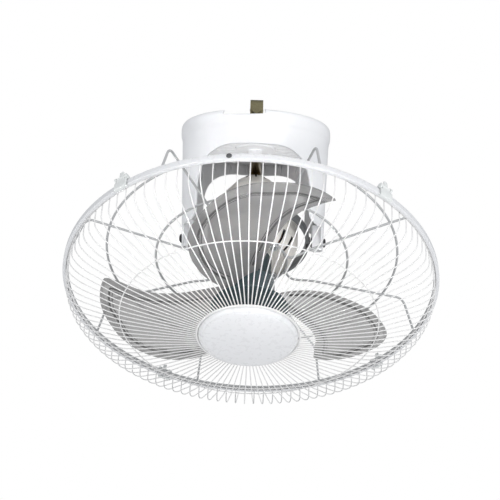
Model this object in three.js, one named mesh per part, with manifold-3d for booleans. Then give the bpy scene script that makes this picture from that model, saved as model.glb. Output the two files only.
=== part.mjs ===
// Orbital ceiling fan, in millimetres, +Z up.
// The origin is the middle of the hanger strap's flat top. The canopy drum hangs below it and carries
// the motor head on two legs. The head leans by TILT, and a crank carries its axis round a cone.
import * as THREE from "three";
import { mergeVertices } from "three/addons/utils/BufferGeometryUtils.js";
import Module from "manifold-3d";

const wasm = await Module();
wasm.setup();

// ---- Driving dimensions ----------------------------------------------------------------------
const GAP = 0.3; // between pieces that touch
const RUN = 0.3; // radial clearance of a pin in its hole
const TILT_DEG = 33; // lean of the head's axis from the vertical

const MOTOR_R = 60;
const MOTOR_WALL = 2.5;
const MOTOR_BOSS_R = 9;
const NECK_R = 26;
const NECK_END = 66; // the neck's front end, forward of the crossing
const SEAM_Z = 10; // joint of the front and rear covers
const REAR_Z = 57.5; // rear cover's flat back
const DOME_TOP_Z = 104.5;
const DOME_STEP = 13; // how far the gear dome's foot stands in from the motor's side
const SHAFT_R = 4;
const STATOR_Z0 = -3;
const STATOR_T = 28;
const ROTOR_R = 25;
const AIR_GAP = 0.6;

const RING_ROOM = 15; // motor's side to the universal ring's outside
const RING_T = 5;
const RING_HALF_H = 6;
const RING_BOSS_R = 8;
const BUSH_R = 7;
const BUSH_STANDOFF = 0.8; // bush face from the ring's boss, the opened pivot
const LEG_SCREW_R = 3;
const RING_PIN_R = 4;

const STRAP_RISE = 36; // the strap's top above the canopy's rim
const PIVOT_DROP = 152; // the crossing of all axes below the rim
const LEG_ROOM = 18; // the universal ring's outside to the legs' outside
const DRUM_FLARE = 4.5; // how much wider the drum is than the legs' ends
const CANOPY_WALL = 3;
const LIP_OUT = 2; // how far the rounded top lip stands proud
const SKIRT_DROP = 44; // lower edge of the drum between the legs
const LEG_TAIL = 12; // how far the legs run on below their pivots
const SHOULDER_RISE = 17; // above the pivots, where the wide leg turns into its tongue
const LEG_CHORD = 20.5; // the leg's outside to the straight edge of the opening
const TONGUE_HALF = 19.5;
const CHANNEL_HALF = 12.5; // half width of the stiffening channel inside a tongue
const CHANNEL_T = 3;
const LEDGE_DROP = 25.5; // seat of the hanger plate below the rim
const LEDGE_T = 3;
const LEDGE_IN = 17.5; // the ledge's inner edge, in from the drum's outside

const PLATE_T = 2.7;
const PLATE_SCREW_IN = 12.5;
const STRAP_W = 17;
const STRAP_T = 2.5;
const STRAP_SPAN = 34; // over the outside of its two cheeks
const STRAP_FOOT = 15;
const BOLT_DROP = 14; // cross bolt below the strap's top
const BOLT_R = 4;
const ROLLER_R = 9;

const WORM_R = 3.2;
const WHEEL_R = 8;
const WHEEL_TEETH = 18;
const WHEEL_LIFT = 1.5; // the worm wheel's rim above the motor's back
const PINION_R = 5.5;
const PINION_TEETH = 6;
const CROWN_TOOTH_LONG = 5.7;
const CROWN_ROOM = 0.8; // worm wheel's top to the crown gear's web
const CROWN_TEETH = 24;

const CRANK_PIN_R = 6;
const CRANK_ARM_W = 14;
const CRANK_ARM_T = 10;
const CRANK_ARM_V = 106; // underside of the arm above the crossing

const BLADES = 3;
const BLADE_R = 201;
const BLADE_T = 2.4;
const BLADE_MID = 91; // the blades' middle plane, forward of the crossing
const BLADE_CORNER_DEG = 60; // where the first blade's tip corner lies
const HUB_R = 31;

const GUARD_R = 235; // outside of the rim band
const BAND_H = 8.6;
const BAND_MID = 84; // the band's middle, forward of the crossing
const BAND_T = 2;
const BAND_LIP = 4.2;
const RIM_WIRE = 1.4; // radius of the guards' rim rings
const SPOKE_WIRE = 1.5;
const SPOKES = 8;
const FIRST_SPOKE_DEG = 19;
const WELD = 2.2; // how far the inner rings' middles lie behind the spokes'
const FRONT_WIRE = 0.9;
const FRONT_WIRES = 32;
const FRONT_HOOP_R = 158.4;
const BACK_PLANE = 33.5; // the rear guard's rearmost plane, forward of the crossing
const MOUNT_FACE = 34; // the bowl's flat face that the rear guard is screwed to
const GUARD_SCREW_R = 40;
const TAB_T = 1.8;
const DISC_R = 61;
const DISC_FACE = 162;
const CLIP_DEG = [-128, -51, 41, 121];

// ---- Derived places --------------------------------------------------------------------------
const TILT = THREE.MathUtils.degToRad(TILT_DEG);
const RIM_Z = -STRAP_RISE;
const CROSSING_Z = RIM_Z - PIVOT_DROP;
const RING_R = MOTOR_R + RING_ROOM;
const LEG_R = RING_R + LEG_ROOM;
const CANOPY_R = LEG_R + DRUM_FLARE;
const LEG_SPREAD_X = LEG_R - LEG_CHORD;
const LEG_END_DROP = PIVOT_DROP + LEG_TAIL;
const SHOULDER_DROP = PIVOT_DROP - SHOULDER_RISE;
const LEDGE_R = CANOPY_R - LEDGE_IN;
const PLATE_SCREW_R = CANOPY_R - PLATE_SCREW_IN;
const DOME_R = MOTOR_R - DOME_STEP;
const GUARD_SEAT_R = GUARD_SCREW_R + 6;
const RIM_RING_R = GUARD_R - BAND_T - RIM_WIRE - 2;
const REAR_RING = BAND_MID - RIM_WIRE - GAP / 2;
const FRONT_RING = BAND_MID + RIM_WIRE + GAP / 2;
const RING_BOSS_X = RING_R + 1;
const BUSH_X0 = RING_BOSS_X + BUSH_STANDOFF;
const LEG_INNER_R = LEG_R - CANOPY_WALL;
const BOSS_Y = Math.sqrt((RING_R - RING_T) ** 2 - MOTOR_BOSS_R ** 2) - 2 * GAP;
const CROSS_SHAFT_Z = REAR_Z + WHEEL_R + WHEEL_LIFT;
const CROSS_Y = -(WORM_R + WHEEL_R + GAP);
const CROWN_TOOTH_Z = CROSS_SHAFT_Z + PINION_R + GAP;
const CROWN_WEB_Z = CROSS_SHAFT_Z + WHEEL_R + CROWN_ROOM;
const CROWN_INNER_R = WHEEL_R - CROSS_Y - 1.2;
const CROWN_R = CROWN_INNER_R + CROWN_TOOTH_LONG;
const PINION_X = Math.sqrt((CROWN_INNER_R + 2.2) ** 2 - CROSS_Y ** 2);
const SPOKE_DEG = Array.from({ length: SPOKES }, (_, i) => FIRST_SPOKE_DEG + (360 * i) / SPOKES);
// The universal ring swings past the spokes as far forward as this.
const RING_SWEEP = RING_R * Math.sin(TILT) + RING_HALF_H * Math.cos(TILT) + SPOKE_WIRE;

// ---- Solids ----------------------------------------------------------------------------------
function solid(geometry) {
  const bare = geometry.clone();
  bare.deleteAttribute("normal");
  bare.deleteAttribute("uv");
  const merged = mergeVertices(bare, 1e-3);
  const made = new wasm.Manifold(
    new wasm.Mesh({
      numProp: 3,
      vertProperties: new Float32Array(merged.attributes.position.array),
      triVerts: new Uint32Array(merged.index.array),
    }),
  );
  return made;
}

function geometryOf(made) {
  const mesh = made.getMesh();
  const geometry = new THREE.BufferGeometry();
  const places = new Float32Array(mesh.numVert * 3);
  for (let i = 0; i < mesh.numVert; i++) {
    const start = i * mesh.numProp;
    places.set(mesh.vertProperties.subarray(start, start + 3), i * 3);
  }
  geometry.setAttribute("position", new THREE.BufferAttribute(places, 3));
  geometry.setIndex(new THREE.BufferAttribute(mesh.triVerts, 1));
  const flat = geometry.toNonIndexed();
  flat.computeVertexNormals();
  return flat;
}

const join = (pieces) => pieces.reduce((a, b) => a.add(b));
const cut = (body, tools) => tools.reduce((a, b) => a.subtract(b), body);

// A closed outline of [radius, z] points turned about Z.
function turned(outline, segments = 24) {
  const area = outline.reduce((sum, [r, z], i) => {
    const [r2, z2] = outline[(i + 1) % outline.length];
    return sum + r * z2 - r2 * z;
  }, 0);
  const ordered = area > 0 ? outline : [...outline].reverse();
  const points = [...ordered, ordered[0]].map(([r, z]) => new THREE.Vector2(r, z));
  return solid(new THREE.LatheGeometry(points, segments).rotateX(Math.PI / 2));
}

// A rod along Z, between two heights.
function rod(radius, z0, z1, segments = 16) {
  const geometry = new THREE.CylinderGeometry(radius, radius, z1 - z0, segments);
  return solid(geometry.rotateX(Math.PI / 2).translate(0, 0, (z0 + z1) / 2));
}

function sleeve(inner, outer, z0, z1, segments = 20) {
  return turned([[inner, z0], [outer, z0], [outer, z1], [inner, z1]], segments);
}

function block(x0, x1, y0, y1, z0, z1) {
  const geometry = new THREE.BoxGeometry(x1 - x0, y1 - y0, z1 - z0);
  return solid(geometry.translate((x0 + x1) / 2, (y0 + y1) / 2, (z0 + z1) / 2));
}

const alongX = (made) => made.rotate([0, 90, 0]);
const alongY = (made) => made.rotate([-90, 0, 0]);
const aboutZ = (made, degrees) => made.rotate([0, 0, degrees]);

// A closed hoop of round wire, its middle at [radius, z].
function hoop(radius, z, wire, sides, segments) {
  const geometry = new THREE.TorusGeometry(radius, wire, sides, segments);
  return solid(geometry.translate(0, 0, z));
}

// A path that turns only at the points given.
class BentPath extends THREE.Curve {
  constructor(points) {
    super();
    this.points = points;
  }
  getPoint(t) {
    const place = t * (this.points.length - 1);
    const start = Math.min(Math.floor(place), this.points.length - 2);
    return this.points[start].clone().lerp(this.points[start + 1], place - start);
  }
  getPointAt(t) {
    return this.getPoint(t);
  }
  getSpacedPoints() {
    return this.points.map((point) => point.clone());
  }
}

// Round wire along a list of points, with flat ends.
function wireAlong(points, wire, sides) {
  const circle = new THREE.Shape();
  for (let i = 0; i < sides; i++) {
    const a = (i * 2 * Math.PI) / sides;
    const x = wire * Math.cos(a);
    const y = wire * Math.sin(a);
    if (i) circle.lineTo(x, y);
    else circle.moveTo(x, y);
  }
  circle.closePath();
  const options = { steps: points.length - 1, extrudePath: new BentPath(points) };
  return solid(new THREE.ExtrudeGeometry(circle, options));
}

// A shape drawn in X and Z, pushed along Y to both sides.
function pushedY(shape, halfDepth, curveSegments = 4) {
  const options = { depth: 2 * halfDepth, bevelEnabled: false, curveSegments };
  const geometry = new THREE.ExtrudeGeometry(shape, options);
  return solid(geometry.translate(0, 0, -halfDepth).rotateX(Math.PI / 2));
}

// A toothed wheel about Z, with square-cut teeth.
function toothed(rootR, tipR, teeth, z0, z1) {
  const shape = new THREE.Shape();
  for (let i = 0; i < teeth * 4; i++) {
    const a = ((i + 0.5) * Math.PI) / (teeth * 2);
    const r = i % 4 < 2 ? tipR : rootR;
    if (i) shape.lineTo(r * Math.cos(a), r * Math.sin(a));
    else shape.moveTo(r * Math.cos(a), r * Math.sin(a));
  }
  shape.closePath();
  const geometry = new THREE.ExtrudeGeometry(shape, { depth: z1 - z0, bevelEnabled: false });
  return solid(geometry.translate(0, 0, z0));
}

// ---- Materials -------------------------------------------------------------------------------
function finish(color, roughness, metalness = 0) {
  return new THREE.MeshStandardMaterial({ color, roughness, metalness });
}

const whitePlastic = finish(0xf0f0f2, 0.3);
const whitePaint = finish(0xf2f2f4, 0.35);
const greyPaint = finish(0x77797a, 0.5);
const motorPaint = finish(0xcfccc6, 0.5);
const neckPaint = finish(0x37474a, 0.45);
const blackPlastic = finish(0x151515, 0.5);
const smokePlastic = finish(0x8f9296, 0.25);
const zincSteel = finish(0xb9ab72, 0.35, 0.9);
const brightSteel = finish(0xc4c6c8, 0.3, 1);
const copper = finish(0xb06a35, 0.4, 0.8);
const brass = finish(0xb08d46, 0.35, 0.9);
const nylon = finish(0xe6e1d2, 0.5);
const rubber = finish(0x1c1c1c, 0.9);

// ---- Assembly groups -------------------------------------------------------------------------
const fan = new THREE.Group();
const canopy = new THREE.Group();
canopy.position.z = RIM_Z;
const crossing = new THREE.Group();
crossing.position.z = CROSSING_Z;
const head = new THREE.Group();
head.position.z = CROSSING_Z;
head.rotation.x = -TILT;
fan.add(canopy, crossing, head);

function place(group, name, made, material) {
  const mesh = new THREE.Mesh(geometryOf(made), material);
  mesh.name = name;
  group.add(mesh);
}

// ---- Canopy, from its rim down ---------------------------------------------------------------
// The opening between the legs, drawn in X and Z: a low arch whose sides run down to the tongues.
function archCutter() {
  const tongueX = Math.sqrt(LEG_R ** 2 - TONGUE_HALF ** 2);
  const cornerX = LEG_SPREAD_X - 6.5;
  const low = -LEG_END_DROP - 5;
  const shape = new THREE.Shape();
  shape.moveTo(-30, -SKIRT_DROP);
  shape.lineTo(30, -SKIRT_DROP);
  shape.quadraticCurveTo(cornerX - 11, -SKIRT_DROP - 2, cornerX, -SKIRT_DROP - 21);
  shape.quadraticCurveTo(LEG_SPREAD_X, -SKIRT_DROP - 34, LEG_SPREAD_X, -SKIRT_DROP - 50);
  shape.lineTo(LEG_SPREAD_X, -SHOULDER_DROP + 14);
  shape.quadraticCurveTo(LEG_SPREAD_X + 1, -SHOULDER_DROP, tongueX, -SHOULDER_DROP);
  shape.quadraticCurveTo(tongueX + 0.5, -LEG_END_DROP + 6, LEG_R + 1, -LEG_END_DROP);
  shape.lineTo(LEG_R + 1, low);
  shape.lineTo(-LEG_R - 1, low);
  shape.lineTo(-LEG_R - 1, -LEG_END_DROP);
  shape.quadraticCurveTo(-tongueX - 0.5, -LEG_END_DROP + 6, -tongueX, -SHOULDER_DROP);
  shape.quadraticCurveTo(-LEG_SPREAD_X - 1, -SHOULDER_DROP, -LEG_SPREAD_X, -SHOULDER_DROP + 14);
  shape.lineTo(-LEG_SPREAD_X, -SKIRT_DROP - 50);
  shape.quadraticCurveTo(-LEG_SPREAD_X, -SKIRT_DROP - 34, -cornerX, -SKIRT_DROP - 21);
  shape.quadraticCurveTo(11 - cornerX, -SKIRT_DROP - 2, -30, -SKIRT_DROP);
  return pushedY(shape, CANOPY_R + 20, 5);
}

// Two walls and a roof inside one tongue, open toward the crossing and below.
function legChannel() {
  const x0 = BUSH_X0 + 1.2;
  const x1 = LEG_R - 1.5;
  const top = 24 - PIVOT_DROP;
  const low = 1 - LEG_END_DROP;
  const inside = CHANNEL_HALF - CHANNEL_T;
  return join([
    block(x0, x1, inside, CHANNEL_HALF, low, top),
    block(x0, x1, -CHANNEL_HALF, -inside, low, top),
    block(x0, x1, -CHANNEL_HALF, CHANNEL_HALF, top - CHANNEL_T, top),
  ]);
}

function canopyYoke() {
  const lipR = CANOPY_R + LIP_OUT;
  const inner = CANOPY_R - CANOPY_WALL;
  const ledgeLow = -LEDGE_DROP - LEDGE_T;
  const shell = turned(
    [
      [CANOPY_R - 5.5, 0],
      [CANOPY_R - 1, 0],
      [lipR, -4],
      [lipR, -14],
      [CANOPY_R + 0.2, -22],
      [LEG_R, -LEG_END_DROP],
      [LEG_INNER_R, -LEG_END_DROP],
      [inner - 0.2, ledgeLow],
      [LEDGE_R, ledgeLow],
      [LEDGE_R, -LEDGE_DROP],
      [inner, -LEDGE_DROP],
      [inner, -4],
      [CANOPY_R - 5.5, -3],
    ],
    48,
  );
  const notch = block(-42, 12, -CANOPY_R - 10, -CANOPY_R + 15, -6, 1);
  const pivotHole = alongX(rod(LEG_SCREW_R + RUN, -120, 120)).translate([0, 0, -PIVOT_DROP]);
  const screwHoles = [];
  for (let i = 0; i < 4; i++) {
    const hole = rod(2 + RUN, ledgeLow - 1, -LEDGE_DROP + 1, 8).translate([PLATE_SCREW_R, 0, 0]);
    screwHoles.push(aboutZ(hole, 45 + 90 * i));
  }
  const legs = cut(shell, [archCutter(), notch]);
  const channels = [0, 180].map((turn) => aboutZ(legChannel(), turn));
  return cut(join([legs, ...channels]), [pivotHole, ...screwHoles]);
}

const plateZ0 = -LEDGE_DROP + GAP;
const plateZ1 = plateZ0 + PLATE_T;

function hangerPlate() {
  const holes = [rod(11.5 + RUN, plateZ0 - 1, plateZ1 + 1, 24)];
  for (let i = 0; i < 4; i++) {
    const hole = rod(2 + RUN, plateZ0 - 1, plateZ1 + 1, 8).translate([PLATE_SCREW_R, 0, 0]);
    holes.push(aboutZ(hole, 45 + 90 * i));
  }
  for (const side of [-1, 1]) {
    const y = side * (STRAP_SPAN / 2 + STRAP_FOOT / 2);
    holes.push(rod(2 + RUN, plateZ0 - 1, plateZ1 + 1, 8).translate([0, y, 0]));
  }
  return cut(rod(CANOPY_R - CANOPY_WALL - 2, plateZ0, plateZ1, 32), holes);
}

// An upturned U with a foot at each side, bent from strip.
function hangerStrap() {
  const halfSpan = STRAP_SPAN / 2;
  const base = plateZ1 + GAP;
  const bend = 4;
  const shape = new THREE.Shape();
  shape.moveTo(-halfSpan - STRAP_FOOT, base);
  shape.lineTo(-halfSpan - STRAP_FOOT, base + STRAP_T);
  shape.lineTo(-halfSpan, base + STRAP_T);
  shape.lineTo(-halfSpan, STRAP_RISE - bend);
  shape.quadraticCurveTo(-halfSpan, STRAP_RISE, -halfSpan + bend, STRAP_RISE);
  shape.lineTo(halfSpan - bend, STRAP_RISE);
  shape.quadraticCurveTo(halfSpan, STRAP_RISE, halfSpan, STRAP_RISE - bend);
  shape.lineTo(halfSpan, base + STRAP_T);
  shape.lineTo(halfSpan + STRAP_FOOT, base + STRAP_T);
  shape.lineTo(halfSpan + STRAP_FOOT, base);
  shape.lineTo(halfSpan - STRAP_T, base);
  shape.lineTo(halfSpan - STRAP_T, STRAP_RISE - STRAP_T);
  shape.lineTo(-halfSpan + STRAP_T, STRAP_RISE - STRAP_T);
  shape.lineTo(-halfSpan + STRAP_T, base);
  shape.closePath();
  const strap = aboutZ(pushedY(shape, STRAP_W / 2), 90);
  const boltHole = alongY(rod(BOLT_R + RUN, -40, 40)).translate([0, 0, STRAP_RISE - BOLT_DROP]);
  const feet = [-1, 1].map((side) =>
    rod(2 + RUN, base - 1, base + STRAP_T + 1, 8).translate([0, side * (halfSpan + STRAP_FOOT / 2), 0]),
  );
  return cut(strap, [boltHole, ...feet]);
}

// A screw along Z whose head sits on the height given.
function panScrew(shank, headR, headH, seat, length) {
  return join([rod(headR, seat, seat + headH, 12), rod(shank, seat - length, seat + 0.1, 8)]);
}

function buildCanopy() {
  place(canopy, "canopy_yoke", canopyYoke(), whitePlastic);
  place(canopy, "hanger_plate", hangerPlate(), brightSteel);
  place(canopy, "hanger_strap", hangerStrap(), zincSteel);
  for (let i = 0; i < 4; i++) {
    const screw = panScrew(2, 4, 2.6, plateZ1 + GAP, 8).translate([PLATE_SCREW_R, 0, 0]);
    place(canopy, `plate_screw_${i + 1}`, aboutZ(screw, 45 + 90 * i), brightSteel);
  }
  [-1, 1].forEach((side, i) => {
    const seat = plateZ1 + 2 * GAP + STRAP_T;
    const y = side * (STRAP_SPAN / 2 + STRAP_FOOT / 2);
    place(canopy, `strap_screw_${i + 1}`, panScrew(2, 3.8, 2.6, seat, 5.5).translate([0, y, 0]), brightSteel);
  });
  buildHangerBolt();
  buildWiring();
  buildOrbitBearing();
  buildLegPivots();
}

function buildHangerBolt() {
  const out = STRAP_SPAN / 2 + GAP;
  const z = STRAP_RISE - BOLT_DROP;
  const lay = (made) => alongY(made).translate([0, 0, z]);
  const shank = rod(BOLT_R, -out - 0.1, out + 7);
  const headSolid = solid(new THREE.CylinderGeometry(7, 7, 5, 6).rotateX(Math.PI / 2).translate(0, 0, -out - 2.5));
  place(canopy, "hanger_bolt", lay(join([shank, headSolid])), zincSteel);
  const nut = solid(new THREE.CylinderGeometry(7, 7, 6, 6).rotateX(Math.PI / 2).translate(0, 0, out + 3));
  place(canopy, "hanger_nut", lay(cut(nut, [rod(BOLT_R + RUN, out - 1, out + 8)])), zincSteel);
  const half = STRAP_SPAN / 2 - STRAP_T - GAP;
  const roller = turned(
    [
      [BOLT_R + RUN, -half],
      [ROLLER_R, -half],
      [ROLLER_R, -half + 3],
      [ROLLER_R - 2, -3],
      [ROLLER_R - 2, 3],
      [ROLLER_R, half - 3],
      [ROLLER_R, half],
      [BOLT_R + RUN, half],
    ],
    16,
  );
  place(canopy, "hook_roller", lay(roller), rubber);
}

// The run capacitor and the terminal block stand on the hanger plate.
function buildWiring() {
  const z = plateZ1 + GAP;
  const can = turned([[0, 0], [15, 0], [16, 1], [16, 13], [15, 14], [0, 14]], 20);
  place(canopy, "run_capacitor", can.translate([48, 22, z]), blackPlastic);
  const pockets = [];
  for (let i = 0; i < 3; i++) pockets.push(rod(2.4, 7, 12, 10).translate([-10 + 10 * i, 0, 0]));
  const terminals = cut(block(-16, 16, -8, 8, 0, 10), pockets);
  place(canopy, "terminal_block", terminals.translate([-46, -30, z]), nylon);
}

const bearingFoot = -LEDGE_DROP - 4;

function buildOrbitBearing() {
  const bearing = turned(
    [
      [CRANK_PIN_R + RUN, bearingFoot],
      [25, bearingFoot],
      [26, bearingFoot + 1],
      [26, plateZ0 - GAP],
      [11.5, plateZ0 - GAP],
      [11.5, plateZ1 + 6],
      [CRANK_PIN_R + RUN, plateZ1 + 6],
    ],
  );
  place(canopy, "orbit_bearing", bearing, nylon);
}

function buildLegPivots() {
  const bushLength = LEG_INNER_R - 0.6 - BUSH_X0;
  const outline = [[LEG_SCREW_R + RUN, 0], [BUSH_R, 0]];
  const ribs = 2;
  for (let i = 0; i < ribs; i++) {
    const at = (bushLength * (i + 0.5)) / ribs;
    outline.push([BUSH_R, at - 1], [BUSH_R - 0.9, at], [BUSH_R, at + 1]);
  }
  outline.push([BUSH_R, bushLength], [LEG_SCREW_R + RUN, bushLength]);
  const headX = LEG_R + 0.9;
  const screw = join([rod(LEG_SCREW_R, BUSH_X0 + 1, headX + 0.1), rod(6.2, headX, headX + 3)]);
  for (const [name, turn] of [["left", -90], ["right", 90]]) {
    const lay = (made) => made.rotate([0, turn, 0]).translate([0, 0, -PIVOT_DROP]);
    const bush = turned(outline, 14).translate([0, 0, BUSH_X0]);
    place(canopy, `leg_bush_${name}`, lay(bush), blackPlastic);
    place(canopy, `leg_screw_${name}`, lay(screw), blackPlastic);
  }
}

// ---- Crank, from the crossing of the axes ----------------------------------------------------
const onHeadAxis = (made) => made.rotate([-TILT_DEG, 0, 0]);

function buildCrank() {
  const pinTop = PIVOT_DROP + plateZ1 + 6 + GAP;
  const collarTop = PIVOT_DROP + bearingFoot - GAP;
  const armTop = CRANK_ARM_V + CRANK_ARM_T;
  const bossEnd = (CRANK_ARM_V + CRANK_ARM_T / 2) / Math.cos(TILT);
  const reach = bossEnd * Math.sin(TILT);
  const arm = join([
    rod(CRANK_PIN_R, CRANK_ARM_V + 1, pinTop),
    rod(4.5, CRANK_ARM_V + 1, pinTop + 5),
    rod(9, armTop - 1, collarTop),
    rod(CRANK_ARM_W / 2, CRANK_ARM_V, armTop),
    rod(CRANK_ARM_W / 2 + 2, CRANK_ARM_V, armTop).translate([0, reach, 0]),
    block(-CRANK_ARM_W / 2, CRANK_ARM_W / 2, 0, reach, CRANK_ARM_V, armTop),
    onHeadAxis(rod(8, DOME_TOP_Z + 2, bossEnd)),
    onHeadAxis(rod(5, CROWN_WEB_Z + 12.5, DOME_TOP_Z + 3)),
    onHeadAxis(rod(4, CROWN_WEB_Z, CROWN_WEB_Z + 13)),
  ]);
  place(crossing, "crank_arm", arm, zincSteel);
  place(crossing, "crank_retainer", sleeve(4.5 + RUN, 9.5, pinTop + GAP, pinTop + 3), brightSteel);
  place(head, "crown_gear", crownGear(), nylon);
}

// A disc with its teeth on the front face, on the crank's lower shaft.
function crownGear() {
  const inner = CROWN_INNER_R;
  const disc = turned([
    [4 + RUN, CROWN_WEB_Z],
    [inner, CROWN_WEB_Z],
    [inner, CROWN_TOOTH_Z + 1],
    [CROWN_R, CROWN_TOOTH_Z + 1],
    [CROWN_R, CROWN_WEB_Z + 3],
    [9, CROWN_WEB_Z + 3],
    [9, CROWN_WEB_Z + 11.8],
    [4 + RUN, CROWN_WEB_Z + 11.8],
  ]);
  const teeth = toothed(inner + 0.8, CROWN_R - 0.6, CROWN_TEETH, CROWN_TOOTH_Z, CROWN_TOOTH_Z + 1.1);
  return join([disc, cut(teeth, [rod(inner + 0.3, CROWN_TOOTH_Z - 1, CROWN_TOOTH_Z + 2, 24)])]);
}

// ---- Motor, on the head's own axis, +Z to the rear -------------------------------------------
function frontCover() {
  const back = -NECK_END;
  const inner = MOTOR_R - MOTOR_WALL;
  const shell = turned(
    [
      [11 + RUN, back],
      [NECK_R - 1.5, back],
      [NECK_R, back + 1.5],
      [NECK_R, -MOUNT_FACE],
      [GUARD_SEAT_R, -MOUNT_FACE],
      [MOTOR_R - 7, -27],
      [MOTOR_R - 1.5, -16],
      [MOTOR_R, -4],
      [MOTOR_R, SEAM_Z],
      [inner, SEAM_Z],
      [inner, -4],
      [MOTOR_R - 8.5, -24],
      [GUARD_SEAT_R - 1, -MOUNT_FACE + MOTOR_WALL],
      [NECK_R - MOTOR_WALL, -MOUNT_FACE + MOTOR_WALL],
      [NECK_R - MOTOR_WALL, back + 12],
      [11 + RUN, back + 12],
    ],
    36,
  );
  const bosses = [-90, 90].map((turn) => rod(MOTOR_BOSS_R, MOTOR_R - 1.5, BOSS_Y).rotate([turn, 0, 0]));
  const pinHole = alongY(rod(RING_PIN_R + RUN, -90, 90));
  const vents = [];
  for (let i = 0; i < 6; i++) {
    const slot = block(-4, 8, -9, 9, -19, -15).translate([MOTOR_R - 6, 0, 0]);
    vents.push(aboutZ(slot, 30 * (1 + 2 * i)));
  }
  const screwHoles = guardScrewDegrees.map((a) =>
    aboutZ(rod(1.6 + RUN, -40, -20, 8).translate([GUARD_SCREW_R, 0, 0]), a),
  );
  return cut(join([shell, ...bosses]), [pinHole, ...vents, ...screwHoles]);
}

function rearCover() {
  const low = SEAM_Z + GAP;
  const inner = MOTOR_R - MOTOR_WALL;
  return turned(
    [
      [MOTOR_R, low],
      [MOTOR_R, 28],
      [MOTOR_R - 5, 40],
      [DOME_R + 4, REAR_Z - 5.5],
      [DOME_R, REAR_Z],
      [9 + RUN, REAR_Z],
      [9 + RUN, REAR_Z - 10],
      [14, REAR_Z - 10],
      [14, REAR_Z - 3],
      [DOME_R - 2.5, REAR_Z - 3],
      [MOTOR_R - 7.4, 39],
      [inner, 27],
      [inner, low],
    ],
    36,
  );
}

function gearDome() {
  const low = REAR_Z + GAP;
  const wall = 2.2;
  const shell = turned(
    [
      [DOME_R, low],
      [DOME_R - 1.5, 66],
      [31, 91],
      [22, 102],
      [18, DOME_TOP_Z],
      [9.3 + RUN, DOME_TOP_Z],
      [9.3 + RUN, 91],
      [13, 91],
      [13, DOME_TOP_Z - 4],
      [18, DOME_TOP_Z - 4],
      [29, 88.7],
      [DOME_R - 3.8, 65.5],
      [DOME_R - wall, low],
    ],
    32,
  );
  const slots = [];
  for (let i = 0; i < 10; i++) slots.push(aboutZ(block(23, 35, -1.3, 1.3, 84, 106), 36 * i + 18));
  return cut(shell, slots);
}

function gearboxFrame() {
  const floor = REAR_Z + GAP;
  const top = floor + 2.5;
  const lug = (x0, x1) => block(x0, x1, CROSS_Y - 5, CROSS_Y + 5, top - 1, CROSS_SHAFT_Z + 5);
  const body = join([rod(DOME_R - 5, floor, top, 40), lug(-13, -9), lug(PINION_X + 6, PINION_X + 10)]);
  const shaftHole = alongX(rod(2.5 + RUN, -60, 60, 16)).translate([0, CROSS_Y, CROSS_SHAFT_Z]);
  const pocket = block(-4, 4, CROSS_Y - WHEEL_R - 1.5, CROSS_Y + WHEEL_R + 1.5, floor - 1, top + 1);
  return cut(body, [shaftHole, pocket, rod(6, floor - 1, top + 1)]);
}

// Annular lumps stand for the wound coils, which are sealed inside.
function buildStator() {
  const back = STATOR_Z0 + STATOR_T;
  const bore = ROTOR_R + AIR_GAP;
  place(head, "stator_core", sleeve(bore, MOTOR_R - MOTOR_WALL - GAP, STATOR_Z0, back, 36), brightSteel);
  const coil = (z0, z1) =>
    turned([[29, z0], [45, z0], [43, z1], [31, z1]]);
  place(head, "winding_front", coil(STATOR_Z0 - GAP, STATOR_Z0 - 16), copper);
  place(head, "winding_rear", coil(back + GAP, back + 15), copper);
}

function buildBearings() {
  place(head, "bearing_front", sleeve(SHAFT_R + RUN, 11, -NECK_END + 2, -NECK_END + 10), brightSteel);
  place(head, "bearing_rear", sleeve(SHAFT_R + RUN, 9, REAR_Z - 9, REAR_Z - 2), brightSteel);
  place(head, "dome_bush", sleeve(5 + RUN, 9.3, 92, DOME_TOP_Z + 1), brass);
}

function buildRotor() {
  const wormTop = CROWN_WEB_Z - 1.5;
  const outline = [[0, -BLADE_MID - 27], [3, -BLADE_MID - 27], [SHAFT_R, -BLADE_MID - 25], [SHAFT_R, 60], [2.4, 60.5]];
  for (let z = 61; z < wormTop - 2; z += 3) outline.push([WORM_R, z + 0.6], [WORM_R, z + 1.5], [2.4, z + 2.1]);
  outline.push([0, wormTop]);
  place(head, "motor_shaft", turned(outline, 12), brightSteel);
  const mid = STATOR_Z0 + STATOR_T / 2;
  const half = STATOR_T / 2;
  const core = turned(
    [
      [SHAFT_R + RUN, mid - half],
      [17, mid - half],
      [17, mid - half - 5],
      [24, mid - half - 5],
      [ROTOR_R, mid - half],
      [ROTOR_R, mid + half],
      [24, mid + half + 5],
      [17, mid + half + 5],
      [17, mid + half],
      [SHAFT_R + RUN, mid + half],
    ],
    24,
  );
  place(head, "rotor_core", core, brightSteel);
}

// ---- Gear train on the head ------------------------------------------------------------------
function buildGears() {
  const lay = (made) => alongX(made).translate([0, CROSS_Y, CROSS_SHAFT_Z]);
  const wheel = toothed(WHEEL_R - 0.9, WHEEL_R, WHEEL_TEETH, -3, 3);
  place(head, "worm_wheel", lay(cut(wheel, [rod(2.5 + RUN, -5, 5, 16)])), nylon);
  const pinionStart = PINION_X - 3;
  place(head, "clutch_spring", lay(sleeve(3.6, 5.4, 3 + GAP, 8, 16)), brightSteel);
  const pinion = join([
    rod(2.5, -12.5, PINION_X + 9.5, 16),
    rod(4.5, 8 + GAP, pinionStart + 0.5, 20),
    toothed(PINION_R - 1.2, PINION_R, PINION_TEETH, pinionStart, PINION_X + 3),
  ]);
  place(head, "pinion_shaft", lay(pinion), brass);
  place(head, "gearbox_frame", gearboxFrame(), zincSteel);
}

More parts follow.
